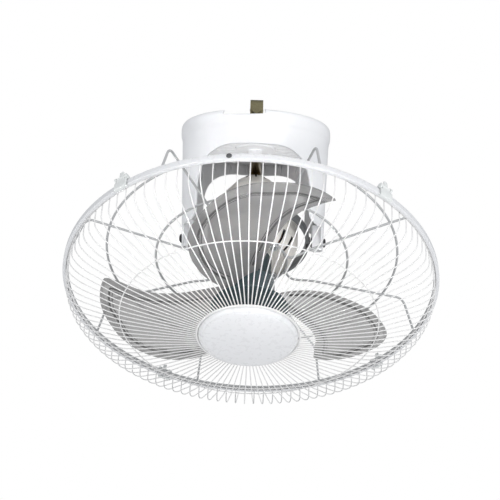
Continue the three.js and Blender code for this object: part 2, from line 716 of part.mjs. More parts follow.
// ---- Universal ring and its pins -------------------------------------------------------------
function buildRing() {
  const band = sleeve(RING_R - RING_T, RING_R, -RING_HALF_H, RING_HALF_H, 48);
  const bosses = [-90, 90].map((turn) => rod(RING_BOSS_R, RING_R - RING_T, RING_BOSS_X).rotate([0, turn, 0]));
  const sidePins = alongX(rod(LEG_SCREW_R + RUN, -90, 90));
  const headPins = alongY(rod(RING_PIN_R + RUN, -90, 90));
  place(head, "universal_ring", cut(join([band, ...bosses]), [sidePins, headPins]), greyPaint);
  for (const [name, turn] of [["front", 90], ["rear", -90]]) {
    const seat = RING_R + GAP;
    const pin = join([rod(RING_PIN_R, MOTOR_R - 1, seat + 0.5), rod(7, seat, seat + 2.6)]);
    place(head, `ring_pin_${name}`, pin.rotate([turn, 0, 0]), blackPlastic);
  }
}

// ---- Fan -------------------------------------------------------------------------------------
// A blade's two edges, by how far out along it they are (0 at the hub, 1 at the tip):
// the trailing edge's angle behind the tip corner and place forward of BLADE_MID, then the leading edge's.
const BLADE_EDGES = [
  [-0.012, 6, -15, 72, -6],
  [0.14, 11.8, -16.9, 69, -6],
  [0.26, 17.4, -20.9, 67, -3],
  [0.405, 20.9, -25.4, 64.5, 1.5],
  [0.55, 20.1, -29.4, 61.5, 7],
  [0.7, 12.2, -28.7, 57.5, 12.5],
  [0.83, 4, -23, 49.5, 14],
  [0.935, 0.8, -18.2, 41, 8.5],
  [0.97, 7, -16.5, 36.5, 5],
  [1, 17, -9, 29, 0],
];

function bladePoint(edge, across, side) {
  const [out, trailing, trailingFront, leading, leadingFront] = edge;
  const radius = HUB_R + out * (BLADE_R - HUB_R);
  const behind = trailing + (leading - trailing) * across;
  const around = THREE.MathUtils.degToRad(BLADE_CORNER_DEG - behind);
  const forward = BLADE_MID + trailingFront + (leadingFront - trailingFront) * across;
  return [radius * Math.cos(around), radius * Math.sin(around), (side * BLADE_T) / 2 - forward];
}

function blade() {
  const columns = 6;
  const rows = BLADE_EDGES.length;
  const positions = [];
  for (const side of [1, -1]) {
    for (const edge of BLADE_EDGES) {
      for (let j = 0; j < columns; j++) positions.push(...bladePoint(edge, j / (columns - 1), side));
    }
  }
  const at = (side, i, j) => side * rows * columns + i * columns + j;
  const index = [];
  const quad = (a, b, c, d) => index.push(a, b, c, a, c, d);
  for (let i = 0; i < rows - 1; i++) {
    for (let j = 0; j < columns - 1; j++) {
      quad(at(0, i, j), at(0, i, j + 1), at(0, i + 1, j + 1), at(0, i + 1, j));
      quad(at(1, i, j), at(1, i + 1, j), at(1, i + 1, j + 1), at(1, i, j + 1));
    }
    quad(at(0, i, 0), at(0, i + 1, 0), at(1, i + 1, 0), at(1, i, 0));
    quad(at(0, i, columns - 1), at(1, i, columns - 1), at(1, i + 1, columns - 1), at(0, i + 1, columns - 1));
  }
  for (let j = 0; j < columns - 1; j++) {
    quad(at(0, 0, j), at(1, 0, j), at(1, 0, j + 1), at(0, 0, j + 1));
    quad(at(0, rows - 1, j), at(0, rows - 1, j + 1), at(1, rows - 1, j + 1), at(1, rows - 1, j));
  }
  const geometry = new THREE.BufferGeometry();
  geometry.setAttribute("position", new THREE.Float32BufferAttribute(positions, 3));
  geometry.setIndex(index);
  return solid(geometry);
}

function buildFan() {
  const front = -(BLADE_MID + 21);
  const hub = turned(
    [
      [SHAFT_R + RUN, front + 20],
      [9, front + 20],
      [9, front + 3],
      [HUB_R - 2.5, front + 3],
      [HUB_R - 2.5, front + 40],
      [HUB_R, front + 40],
      [HUB_R, front + 4],
      [HUB_R - 4, front],
      [SHAFT_R + RUN, front],
    ],
  );
  const blades = [];
  for (let i = 0; i < BLADES; i++) blades.push(aboutZ(blade(), (360 * i) / BLADES));
  const cup = rod(HUB_R - 2.5, front + 3, front + 60);
  const outside = join(blades.map((made) => made.subtract(cup)));
  place(head, "fan_blades", join([hub, outside]), smokePlastic);
  const nutBack = front - GAP;
  const nut = turned([[0, nutBack - 12], [6, nutBack - 11], [9, nutBack - 7], [12, nutBack], [SHAFT_R + RUN, nutBack],
    [SHAFT_R + RUN, nutBack - 8], [0, nutBack - 8]], 16);
  place(head, "blade_nut", nut, blackPlastic);
}

// ---- Guards ----------------------------------------------------------------------------------
const guardScrewDegrees = [45, 135, 225, 315];

function radial(profile, degrees) {
  const a = THREE.MathUtils.degToRad(degrees);
  return profile.map(([r, forward]) => new THREE.Vector3(r * Math.cos(a), r * Math.sin(a), -forward));
}

function rearGuard() {
  const tabBack = -MOUNT_FACE - GAP;
  const mountForward = MOUNT_FACE + GAP + SPOKE_WIRE;
  const spoke = [
    [RIM_RING_R - 0.6, REAR_RING],
    [RIM_RING_R - 10.5, BACK_PLANE + 6.5],
    [RIM_RING_R - 16.5, BACK_PLANE],
    [RING_R + 10, BACK_PLANE + 8.5],
    [RING_R - 9, RING_SWEEP - 0.8],
    [RING_R - 19, RING_SWEEP + 0.2],
    [GUARD_SEAT_R + 4.5, MOUNT_FACE + 10],
    [GUARD_SEAT_R, mountForward],
  ];
  // The flat run rises a little toward the hub.
  const slope = 8.5 / (RIM_RING_R - 26.5 - RING_R);
  const ringAt = (r) => hoop(r, WELD - BACK_PLANE - slope * (RIM_RING_R - 16.5 - r), SPOKE_WIRE, 4, 36);
  const wires = SPOKE_DEG.map((a) => wireAlong(radial(spoke, a), SPOKE_WIRE, 4));
  const tabs = guardScrewDegrees.map((a) => {
    const tab = cut(
      join([
        rod(5.5, tabBack - TAB_T, tabBack, 10),
        block(0, 6.5, -3, 3, tabBack - TAB_T, tabBack),
      ]),
      [rod(1.6 + RUN, -50, -20, 8)],
    );
    return aboutZ(tab.translate([GUARD_SCREW_R, 0, 0]), a);
  });
  return join([
    hoop(RIM_RING_R, -REAR_RING, RIM_WIRE, 4, 48),
    ringAt(0.817 * RIM_RING_R),
    ringAt(0.54 * RIM_RING_R),
    hoop(GUARD_SEAT_R, -mountForward, SPOKE_WIRE, 4, 24),
    ...wires,
    ...tabs,
  ]);
}

// The front guard's wires, all alike: down from the rim, then inward as a shallow dish.
const FRONT_PROFILE = [
  [RIM_RING_R - 0.4, FRONT_RING],
  [RIM_RING_R + 0.7, BAND_MID + 16],
  [RIM_RING_R - 3.6, BAND_MID + 28],
  [RIM_RING_R - 11.6, BAND_MID + 35],
  [RIM_RING_R - 24.6, BAND_MID + 40.5],
  [FRONT_HOOP_R, DISC_FACE - 23],
  [DISC_R + 2.1, DISC_FACE - 8.2],
];

function frontGuard() {
  const wires = [];
  for (let i = 0; i < FRONT_WIRES; i++) {
    const made = wireAlong(radial(FRONT_PROFILE, (360 * (i + 0.5)) / FRONT_WIRES), FRONT_WIRE, 3);
    wires.push(made);
  }
  return join([
    hoop(RIM_RING_R, -FRONT_RING, RIM_WIRE, 4, 48),
    hoop(FRONT_HOOP_R, 24.4 - DISC_FACE, 1.1, 3, 36),
    hoop(DISC_R + 2.1, 8.2 - DISC_FACE, 1.4, 4, 28),
    ...wires,
  ]);
}

function rimBand() {
  const top = -(BAND_MID - BAND_H / 2);
  const low = top - BAND_H;
  const lip = 1.2;
  const shell = turned(
    [
      [GUARD_R - BAND_LIP, top],
      [GUARD_R, top],
      [GUARD_R, low],
      [GUARD_R - BAND_LIP, low],
      [GUARD_R - BAND_LIP, low + lip],
      [GUARD_R - BAND_T, low + lip],
      [GUARD_R - BAND_T, top - lip],
      [GUARD_R - BAND_LIP, top - lip],
    ],
    52,
  );
  return cut(shell, [rimScrewPlace(rod(1.6 + RUN, GUARD_R - 35, GUARD_R + 25, 12))]);
}

const rimScrewPlace = (made) => aboutZ(alongX(made), -96).translate([0, 0, -BAND_MID]);

function centreDisc() {
  const face = -DISC_FACE;
  return turned(
    [
      [0, face - 0.5],
      [30, face],
      [50, face + 1.6],
      [58, face + 4],
      [DISC_R, face + 7.5],
      [DISC_R, face + 9.5],
      [DISC_R - 2.4, face + 9.5],
      [DISC_R - 5, face + 6],
      [48, face + 4],
      [0, face + 2],
    ],
    36,
  );
}

function buildGuards() {
  place(head, "rear_guard", rearGuard(), whitePaint);
  place(head, "front_guard", frontGuard(), whitePaint);
  place(head, "rim_band", rimBand(), whitePlastic);
  place(head, "centre_disc", centreDisc(), whitePlastic);
  const screw = join([rod(1.6, GUARD_R - 3.2, GUARD_R + 1), rod(3.2, GUARD_R + GAP, GUARD_R + 2.2)]);
  place(head, "rim_screw", rimScrewPlace(screw), brightSteel);
  guardScrewDegrees.forEach((a, i) => {
    const seat = MOUNT_FACE + TAB_T + 2 * GAP;
    const made = panScrew(1.6, 3.4, 2.2, seat, 8).rotate([180, 0, 0]).translate([GUARD_SCREW_R, 0, 0]);
    place(head, `guard_screw_${i + 1}`, aboutZ(made, a), brightSteel);
  });
  CLIP_DEG.forEach((a, i) => buildClip(i + 1, a));
}

// A saddle on the band's rear edge, and a lever that hooks under its front edge.
const CLIP_HINGE_R = GUARD_R + 1.8;
const CLIP_HINGE_Z = -(BAND_MID - BAND_H / 2 - 4.1);

function buildClip(number, degrees) {
  const bandTop = -(BAND_MID - BAND_H / 2);
  const bandLow = bandTop - BAND_H;
  const base = bandTop + GAP;
  const ear = (y0, y1) => block(GUARD_R - 4, GUARD_R + 4, y0, y1, base, CLIP_HINGE_Z + 2.2);
  const saddle = join([block(GUARD_R - 4, GUARD_R - 0.4, -9, 9, base, base + 2), ear(-9, -6), ear(6, 9)]);
  const pinHole = alongY(rod(1.3, -20, 20, 8)).translate([CLIP_HINGE_R, 0, CLIP_HINGE_Z]);
  place(head, `clip_saddle_${number}`, aboutZ(cut(saddle, [pinHole]), degrees), whitePlastic);
  const tabTop = CLIP_HINGE_Z + 9;
  const hookTop = bandLow - GAP - 0.1;
  const lever = join([
    alongY(rod(2, -5.7, 5.7, 10)).translate([CLIP_HINGE_R, 0, CLIP_HINGE_Z]),
    alongY(rod(1, -8.6, 8.6, 8)).translate([CLIP_HINGE_R, 0, CLIP_HINGE_Z]),
    block(GUARD_R + 1.2, GUARD_R + 2.8, -5.7, 5.7, hookTop - 1.8, CLIP_HINGE_Z),
    block(GUARD_R - 2, GUARD_R + 2.8, -5.7, 5.7, hookTop - 1.8, hookTop),
    block(GUARD_R + 0.8, GUARD_R + 2.8, -4.5, 4.5, CLIP_HINGE_Z, tabTop),
  ]);
  place(head, `clip_lever_${number}`, aboutZ(lever, degrees), whitePlastic);
}

// ---- The whole fan ---------------------------------------------------------------------------
buildCanopy();
buildCrank();
place(head, "motor_front_cover", frontCover(), motorPaint);
place(head, "motor_rear_cover", rearCover(), motorPaint);
place(head, "gear_dome", gearDome(), motorPaint);
buildStator();
buildBearings();
buildRotor();
buildGears();
buildRing();
buildFan();
buildGuards();

export default fan;
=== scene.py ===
"""Looks for the orbital ceiling fan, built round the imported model.

Shapes are made in millimetres, in the group they belong to, and placed in metres.
"""
import bisect
import math

import bmesh
import bpy
from bpy.props import FloatProperty, FloatVectorProperty, IntProperty, PointerProperty
from mathutils import Matrix, Vector
from mathutils.geometry import delaunay_2d_cdt


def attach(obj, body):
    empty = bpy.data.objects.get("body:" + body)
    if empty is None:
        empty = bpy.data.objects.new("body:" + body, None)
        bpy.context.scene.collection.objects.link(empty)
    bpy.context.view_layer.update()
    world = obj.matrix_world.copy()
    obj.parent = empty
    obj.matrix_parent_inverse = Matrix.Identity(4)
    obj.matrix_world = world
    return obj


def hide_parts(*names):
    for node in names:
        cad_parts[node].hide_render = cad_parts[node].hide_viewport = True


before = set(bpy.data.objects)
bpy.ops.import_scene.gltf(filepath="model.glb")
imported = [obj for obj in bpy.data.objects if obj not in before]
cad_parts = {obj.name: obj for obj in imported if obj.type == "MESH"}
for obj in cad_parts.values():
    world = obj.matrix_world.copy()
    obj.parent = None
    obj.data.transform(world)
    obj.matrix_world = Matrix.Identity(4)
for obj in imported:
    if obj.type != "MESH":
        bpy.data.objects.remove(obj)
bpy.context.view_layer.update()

bl_info = {
    "name": "Orbital ceiling fan",
    "version": (1, 0, 0),
    "blender": (4, 5, 0),
    "location": "3D View > Sidebar > Fan",
    "description": "Builds the visible pieces and the stage of an orbital ceiling fan",
    "category": "Object",
}

MM = 0.001
CUT_LEEWAY = 0.2
TILT = math.radians(33)
CROSSING_Z = -188
RIM_Z = -36
TO_CANOPY = Matrix.Translation((0, 0, RIM_Z))
TO_CROSSING = Matrix.Translation((0, 0, CROSSING_Z))
TO_HEAD = TO_CROSSING @ Matrix.Rotation(-TILT, 4, "X")

SPOKE_DEGREES = tuple(19 + 45 * k for k in range(8))
CLIP_DEGREES = (-128, -51, 41, 121)
MOUNT_SCREW_DEGREES = (45, 135, 225, 315)
MOUNT_SCREW_R = 40


# ---- Sizes and colours -----------------------------------------------------------------------
def length(name, description, default):
    return FloatProperty(name=name, description=description, default=default, unit="LENGTH")


def colour(name, description, default):
    return FloatVectorProperty(
        name=name, description=description, default=default, size=3, min=0, max=1, subtype="COLOR"
    )


class FanShellSizes(bpy.types.PropertyGroup):
    """Sizes of the canopy and the motor's covers."""

    lip: length("Lip", "How far the drum's rounded lip stands proud", 0.0021)
    wall: length("Wall", "Thickness of the canopy's moulded wall", 0.003)
    rib: length("Rib", "Radius of the ribs inside the drum", 0.0014)
    edge: length("Edge", "Rounding along the canopy's cut edges", 0.0009)
    vent: length("Vent", "Width of the slots in the gear dome", 0.0026)


class FanCageSizes(bpy.types.PropertyGroup):
    """Sizes of the guards, the band and the blades."""

    front_wires: IntProperty(
        name="Front wires",
        description="Radial wires of the front guard",
        default=107,
        min=24,
        max=160,
        subtype="UNSIGNED",
    )
    front_wire: length("Front wire", "Radius of a radial wire", 0.0007)
    ring_wire: length("Ring wire", "Radius of the guards' rim rings", 0.00135)
    spoke_wire: length("Spoke wire", "Radius of the rear guard's spokes", 0.0015)
    blade: length("Blade", "Thickness of a blade", 0.0023)
    ridge: length("Ridge", "Radius that sizes the two raised lines of a blade", 0.0007)


class FanColours(bpy.types.PropertyGroup):
    """Colours of the fan's finishes."""

    shell: colour("Shell", "White moulded canopy", (0.86, 0.865, 0.88))
    # Painted shade: the inside colour is a grey for the shade inside the drum, given to the canopy's inner
    # skin, ribs and pivot holes.
    inside: colour("Inside", "Shaded inside of the canopy", (0.56, 0.56, 0.57))
    wire: colour("Front wire", "Coat on the front guard's wires", (0.81, 0.805, 0.8))
    # Painted shade: the rear guard's coat is a darker grey copy of the white wire coat, for the shade the
    # rear guard sits in.
    back_wire: colour("Back wire", "Coat on the rear guard's wires", (0.5, 0.505, 0.51))
    motor: colour("Motor", "Paint on the motor's castings", (0.76, 0.735, 0.69))
    neck: colour("Neck", "Dark paint on the motor's neck", (0.035, 0.055, 0.06))
    gimbal: colour("Gimbal", "Paint on the universal ring", (0.16, 0.165, 0.17))
    smoke: colour("Smoke", "Clear smoke plastic of the blades", (0.33, 0.325, 0.32))
    zinc: colour("Zinc", "Yellow plate on the hanger", (0.2, 0.175, 0.095))


GROUPS = {"fan_shells": FanShellSizes, "fan_cage": FanCageSizes, "fan_colours": FanColours}


# ---- Shader maths ----------------------------------------------------------------------------
OBJECT_PLACE = 3
WAVE_FACTOR = 1
MIX_FACTOR, MIX_FIRST, MIX_SECOND, MIX_COLOUR = 0, 6, 7, 2
CAMERA_RAY, GLOSSY_RAY, TRANSMISSION_RAY = 0, 3, 6


class Wire:
    """A socket's value in a finish, for use in Python expressions."""

    def __init__(self, finish, socket):
        self.finish = finish
        self.socket = socket

    def maths(self, operation, first, second):
        return self.finish.node("ShaderNodeMath", {"operation": operation}, {0: first, 1: second})

    def __add__(self, other):
        return self.maths("ADD", self, other)

    def __mul__(self, other):
        return self.maths("MULTIPLY", self, other)

    def __pow__(self, other):
        return self.maths("POWER", self, other)

    def __rpow__(self, other):
        return self.maths("POWER", other, self)

    __radd__ = __add__
    __rmul__ = __mul__


class Finish:
    """One material or world, made node by node."""

    def __init__(self, name, world=None):
        self.material = world or bpy.data.materials.new(name)
        self.material.use_nodes = True
        self.tree = self.material.node_tree
        self.tree.nodes.clear()

    def node(self, kind, settings=None, sockets=None, output=0):
        node = self.tree.nodes.new(kind)
        for key, value in (settings or {}).items():
            setattr(node, key, value)
        for key, value in (sockets or {}).items():
            if isinstance(value, Wire):
                self.tree.links.new(value.socket, node.inputs[key])
            else:
                node.inputs[key].default_value = value
        return Wire(self, node.outputs[output]) if node.outputs else None

    def place(self):
        """Where a point lies on its piece, in metres."""
        return self.node("ShaderNodeTexCoord", output=OBJECT_PLACE)

    def noise(self, scale, detail=3.0, roughness=0.55, stretch=None):
        where = self.place()
        if stretch:
            where = self.node("ShaderNodeVectorMath", {"operation": "MULTIPLY"}, {0: where, 1: stretch})
        sockets = {"Vector": where, "Scale": scale, "Detail": detail, "Roughness": roughness}
        return self.node("ShaderNodeTexNoise", {}, sockets)

    def cells(self, scale):
        return self.node("ShaderNodeTexVoronoi", {}, {"Vector": self.place(), "Scale": scale})

    def waves(self, scale, direction):
        settings = {"wave_type": "BANDS", "bands_direction": direction}
        return self.node("ShaderNodeTexWave", settings, {"Vector": self.place(), "Scale": scale}, WAVE_FACTOR)

    def blend(self, factor, first, second):
        sockets = {MIX_FACTOR: factor, MIX_FIRST: self.shade(first), MIX_SECOND: self.shade(second)}
        return self.node("ShaderNodeMix", {"data_type": "RGBA"}, sockets, MIX_COLOUR)

    @staticmethod
    def shade(value):
        return value if isinstance(value, Wire) else (*value, 1)

    def bump(self, height, strength, distance):
        return self.node("ShaderNodeBump", {}, {"Strength": strength, "Distance": distance, "Height": height})

    def surface(self, sockets):
        self.end(self.node("ShaderNodeBsdfPrincipled", {}, sockets))
        return self.material

    def end(self, shader, kind="ShaderNodeOutputMaterial"):
        self.node(kind, {}, {"Surface": shader})

    def seen_plainly(self, *rays):
        """1 for the light path's rays that are listed by output, and 0 for the others."""
        paths = [self.node("ShaderNodeLightPath", output=i) for i in rays]
        return self.node("ShaderNodeClamp", {}, {"Value": sum(paths[1:], paths[0])})


def scaled(shade, by):
    return tuple(min(1.0, part * by) for part in shade)


def moulded(name, shade, roughness, coat, painted_glow=0.0):
    """Moulded plastic: a soft gloss, faint flow marks and fine dust in its sheen; a glow, when set, is
    painted light.
    """
    finish = Finish(name)
    flow = finish.noise(14, 4, 0.6, (1, 1, 0.35))
    dust = finish.noise(160, 5, 0.6)
    tint = finish.blend(flow * 0.6, shade, scaled(shade, 0.95))
    return finish.surface({
        "Base Color": finish.blend(dust * 0.3, tint, scaled(shade, 0.97)),
        "Roughness": dust * 0.1 + (roughness - 0.05),
        "Coat Weight": coat,
        "Coat Roughness": 0.12,
        # Emission is painted light: the part glows in its own tint though it is no lamp.
        "Emission Color": tint,
        "Emission Strength": painted_glow,
        "Normal": finish.bump(finish.noise(700, 2), 0.03, 0.0001),
    })


def coated_wire(name, shade):
    """Powder coat on wire: slightly pebbled, with patches of grime."""
    finish = Finish(name)
    pebble = finish.noise(900, 3)
    grime = finish.noise(26, 5, 0.65)
    return finish.surface({
        "Base Color": finish.blend(grime**3 * 1.4, shade, scaled(shade, 0.78)),
        "Roughness": pebble * 0.15 + 0.28,
        "Coat Weight": 0.15,
        "Normal": finish.bump(pebble, 0.15, 0.0003),
    })


def painted_casting(name, shade, grain, gloss):
    """Paint over a die casting: clouded colour, orange peel and fine pits."""
    finish = Finish(name)
    peel = finish.noise(grain, 4, 0.6)
    cloud = finish.noise(18, 4, 0.6)
    pits = finish.cells(grain * 0.6)
    return finish.surface({
        "Base Color": finish.blend(cloud * 0.8, scaled(shade, 1.08), scaled(shade, 0.82)),
        "Roughness": peel * 0.22 + (gloss - 0.1),
        "Metallic": 0.12,
        "Normal": finish.bump(peel + pits * 0.35, 0.22, 0.0004),
    })


def plated(name, shade, second, roughness=0.28):
    """Plated metal: clouded between two colours, with fine rolling lines."""
    finish = Finish(name)
    cloud = finish.noise(45, 5, 0.65)
    lines = finish.noise(260, 3, 0.5, (1, 1, 12))
    return finish.surface({
        "Base Color": finish.blend(cloud, shade, second),
        "Roughness": lines * 0.2 + (roughness - 0.08),
        "Metallic": 0.9,
        "Normal": finish.bump(lines, 0.12, 0.0003),
    })


def smoke_plastic(name, shade, alpha, depth=1.0):
    """Clear smoke plastic: deep gloss, faint flow clouds, partly see-through."""
    finish = Finish(name)
    flow = finish.noise(22, 4, 0.6)
    film = finish.noise(240, 3, 0.6)
    return finish.surface({
        "Base Color": finish.blend(flow * 0.9, scaled(shade, 0.85 * depth), scaled(shade, 1.2 * depth)),
        "Roughness": film * 0.12 + 0.12,
        "Alpha": flow * 0.06 + alpha,
        "Coat Weight": 0.6,
        "Coat Roughness": 0.05,
        "IOR": 1.5,
        "Normal": finish.bump(finish.noise(60, 3), 0.05, 0.0008),
    })


def black_moulding(name, grain=500):
    """Black plastic or rubber with a fine grain and a dusty bloom."""
    finish = Finish(name)
    dust = finish.noise(90, 5, 0.65)
    fine = finish.noise(grain, 3)
    return finish.surface({
        "Base Color": finish.blend(dust**3 * 1.5, (0.012, 0.012, 0.013), (0.05, 0.05, 0.052)),
        "Roughness": fine * 0.25 + 0.32,
        "Normal": finish.bump(fine, 0.25, 0.0003),
    })


def wound_copper(name):
    """Varnished copper turns, seen as fine bands with a lacquer over them."""
    finish = Finish(name)
    turns = finish.waves(900, "Z")
    return finish.surface({
        "Base Color": finish.blend(turns, (0.28, 0.09, 0.025), (0.62, 0.27, 0.1)),
        "Roughness": turns * 0.1 + 0.25,
        "Metallic": 0.8,
        "Coat Weight": 0.5,
        "Normal": finish.bump(turns, 0.6, 0.0004),
    })


def stacked_steel(name):
    """The cut edges of stacked sheet, with rust-tinted stains over them."""
    finish = Finish(name)
    sheets = finish.waves(1100, "Z")
    stain = finish.noise(40, 5, 0.65)
    steel = finish.blend(sheets, (0.1, 0.1, 0.105), (0.3, 0.3, 0.31))
    return finish.surface({
        "Base Color": finish.blend(stain**3 * 1.6, steel, (0.16, 0.09, 0.05)),
        "Roughness": stain * 0.3 + 0.3,
        "Metallic": 0.75,
        "Normal": finish.bump(sheets, 0.4, 0.0003),
    })


FINISHES = {}


def finishes():
    """Every finish by name, made once from the scene's colours."""
    if FINISHES:
        return FINISHES
    tints = bpy.context.scene.fan_colours
    FINISHES.update(
        shell=moulded("shell_white", tints.shell, 0.3, 0.35),
        # Painted shade: the canopy's inner faces take this grey for the shade inside the drum.
        inside=moulded("shell_inside_painted_shade", tints.inside, 0.45, 0.05),
        # Painted light: the liner is a lighter copy of the shell that glows, for light coming through the
        # thin white plastic from above.
        liner=moulded("liner_pale_painted_glow", scaled(tints.shell, 1.05), 0.5, 0.0, 0.34),
        band=moulded("band_white", scaled(tints.shell, 0.87), 0.28, 0.3),
        clip=moulded("clip_pale", (0.74, 0.76, 0.75), 0.35, 0.15),
        wire=coated_wire("wire_coat_white", tints.wire),
        # The rear guard's grey coat is painted shade on white wire.
        back_wire=coated_wire("wire_coat_painted_shade", tints.back_wire),
        motor=painted_casting("motor_paint_grey", tints.motor, 420, 0.38),
        neck=painted_casting("neck_paint_dark", tints.neck, 300, 0.42),
        gimbal=painted_casting("gimbal_paint_grey", tints.gimbal, 380, 0.36),
        smoke=smoke_plastic("blade_smoke", tints.smoke, 0.58),
        # Painted shade: the raised lines take a darker, less clear copy of the smoke plastic, for how dark
        # they look at a grazing angle.
        ridge=smoke_plastic("blade_ridge_smoke_painted_shade", tints.smoke, 0.82, 0.3),
        border=smoke_plastic("blade_border_smoke", tints.smoke, 0.67, 0.8),
        hub=smoke_plastic("hub_smoke_dark", scaled(tints.neck, 1.6), 0.9),
        zinc=plated("zinc_yellow", tints.zinc, (0.1, 0.095, 0.065)),
        # Painted shade: the zinc-plated crank is given a near-black plate for the shade inside the drum.
        crank=plated("crank_plate_painted_shade", (0.06, 0.045, 0.03), (0.24, 0.18, 0.08), 0.3),
        bright=plated("zinc_bright", (0.62, 0.63, 0.64), (0.5, 0.52, 0.55)),
        # Painted shade: the hanger plate, plated steel, is given dark grey for the shade under the canopy;
        # the band's screw takes the same finish.
        dark_plate=plated("hanger_plate_painted_shade", (0.2, 0.2, 0.2), (0.13, 0.135, 0.14), 0.4),
        brass=plated("brass_turned", (0.6, 0.42, 0.16), (0.5, 0.33, 0.12), 0.3),
        black=black_moulding("black_plastic"),
        rubber=black_moulding("roller_rubber", 260),
        nylon=moulded("natural_nylon", (0.72, 0.69, 0.6), 0.42, 0.05),
        copper=wound_copper("winding_copper"),
        core=stacked_steel("core_steel"),
    )
    return FINISHES


# ---- Shapes ----------------------------------------------------------------------------------
def turned(degrees, axis="Z"):
    return Matrix.Rotation(math.radians(degrees), 4, axis)


def at_mount_screw(degrees):
    return turned(degrees) @ Matrix.Translation((MOUNT_SCREW_R, 0, 0))


def bend(start, corner, end, steps):
    """Points of a curve that leaves its start and reaches its end along lines through a corner."""
    made = []
    for k in range(steps + 1):
        t = k / steps
        made.append(start * (1 - t) ** 2 + corner * (2 * t * (1 - t)) + end * t**2)
    return made


def arc(x, y, radius, first, sweep, steps):
    """Points of an arc about (x, y), with its angles in radians."""
    angles = [first + sweep * k / steps for k in range(steps + 1)]
    return [(x + radius * math.cos(a), y + radius * math.sin(a)) for a in angles]


def quarter_round(edge, shares):
    """How far in and how deep a rounded edge is, at shares of its quarter turn."""
    angles = [share * math.pi / 2 for share in shares]
    return [(edge * (1 - math.sin(a)), edge * (1 - math.cos(a))) for a in angles]


def ribbed_side(radius, start, count):
    """The part of a turned outline that runs over ribs, as (radius, z)."""
    groove = radius - 0.75
    made = []
    for z in (start + 1.5 * k for k in range(count)):
        made += [(radius, z), (radius, z + 0.7), (groove, z + 0.85), (groove, z + 1.35)]
    return made


def rounded(corners, steps):
    """A closed outline whose corners (x, y, radius) are rounded."""
    points = []
    for i, (x, y, radius) in enumerate(corners):
        here = Vector((x, y))
        to_last = Vector(corners[i - 1][:2]) - here
        to_next = Vector(corners[(i + 1) % len(corners)][:2]) - here
        if radius <= 0 or to_last.length < 1e-6 or to_next.length < 1e-6:
            points.append((x, y))
            continue
        opening = to_last.angle(to_next)
        reach = radius / math.tan(opening / 2) if opening < math.pi - 1e-3 else 0
        reach = min(reach, to_last.length * 0.48, to_next.length * 0.48)
        start, end = here + to_last.normalized() * reach, here + to_next.normalized() * reach
        points += [tuple(point) for point in bend(start, here, end, steps)]
    return points


def open_bend(path, radius):
    """A path of points in space with its inner corners rounded."""
    path = [Vector(p) for p in path]
    made = [path[0]]
    for last, here, following in zip(path, path[1:], path[2:]):
        to_last, to_next = last - here, following - here
        reach = min(radius, to_last.length * 0.45, to_next.length * 0.45)
        made += bend(here + to_last.normalized() * reach, here, here + to_next.normalized() * reach, 5)
    return [*made, path[-1]]


def smooth_curve(points, steps):
    """A curve through every point, as a list of points."""
    points = [Vector(p) for p in points]
    ends = [points[0] * 2 - points[1], *points, points[-1] * 2 - points[-2]]
    made = []
    for p0, p1, p2, p3 in zip(ends, ends[1:], ends[2:], ends[3:]):
        for k in range(steps):
            t = k / steps
            turn_in = 2 * p0 - 5 * p1 + 4 * p2 - p3
            turn_out = 3 * p1 - p0 - 3 * p2 + p3
            made.append(0.5 * (2 * p1 + (p2 - p0) * t + turn_in * t**2 + turn_out * t**3))
    made.append(points[-1])
    return made


def between(table, at):
    """The value at a place in a table of (place, value), in straight lines."""
    places = [row[0] for row in table]
    i = min(max(bisect.bisect_left(places, at), 1), len(table) - 1)
    (x0, y0), (x1, y1) = table[i - 1], table[i]
    t = min(max((at - x0) / (x1 - x0), 0), 1)
    return y0 + (y1 - y0) * t


def round_about(points, degrees):
    return [turned(degrees) @ Vector(p) for p in points]


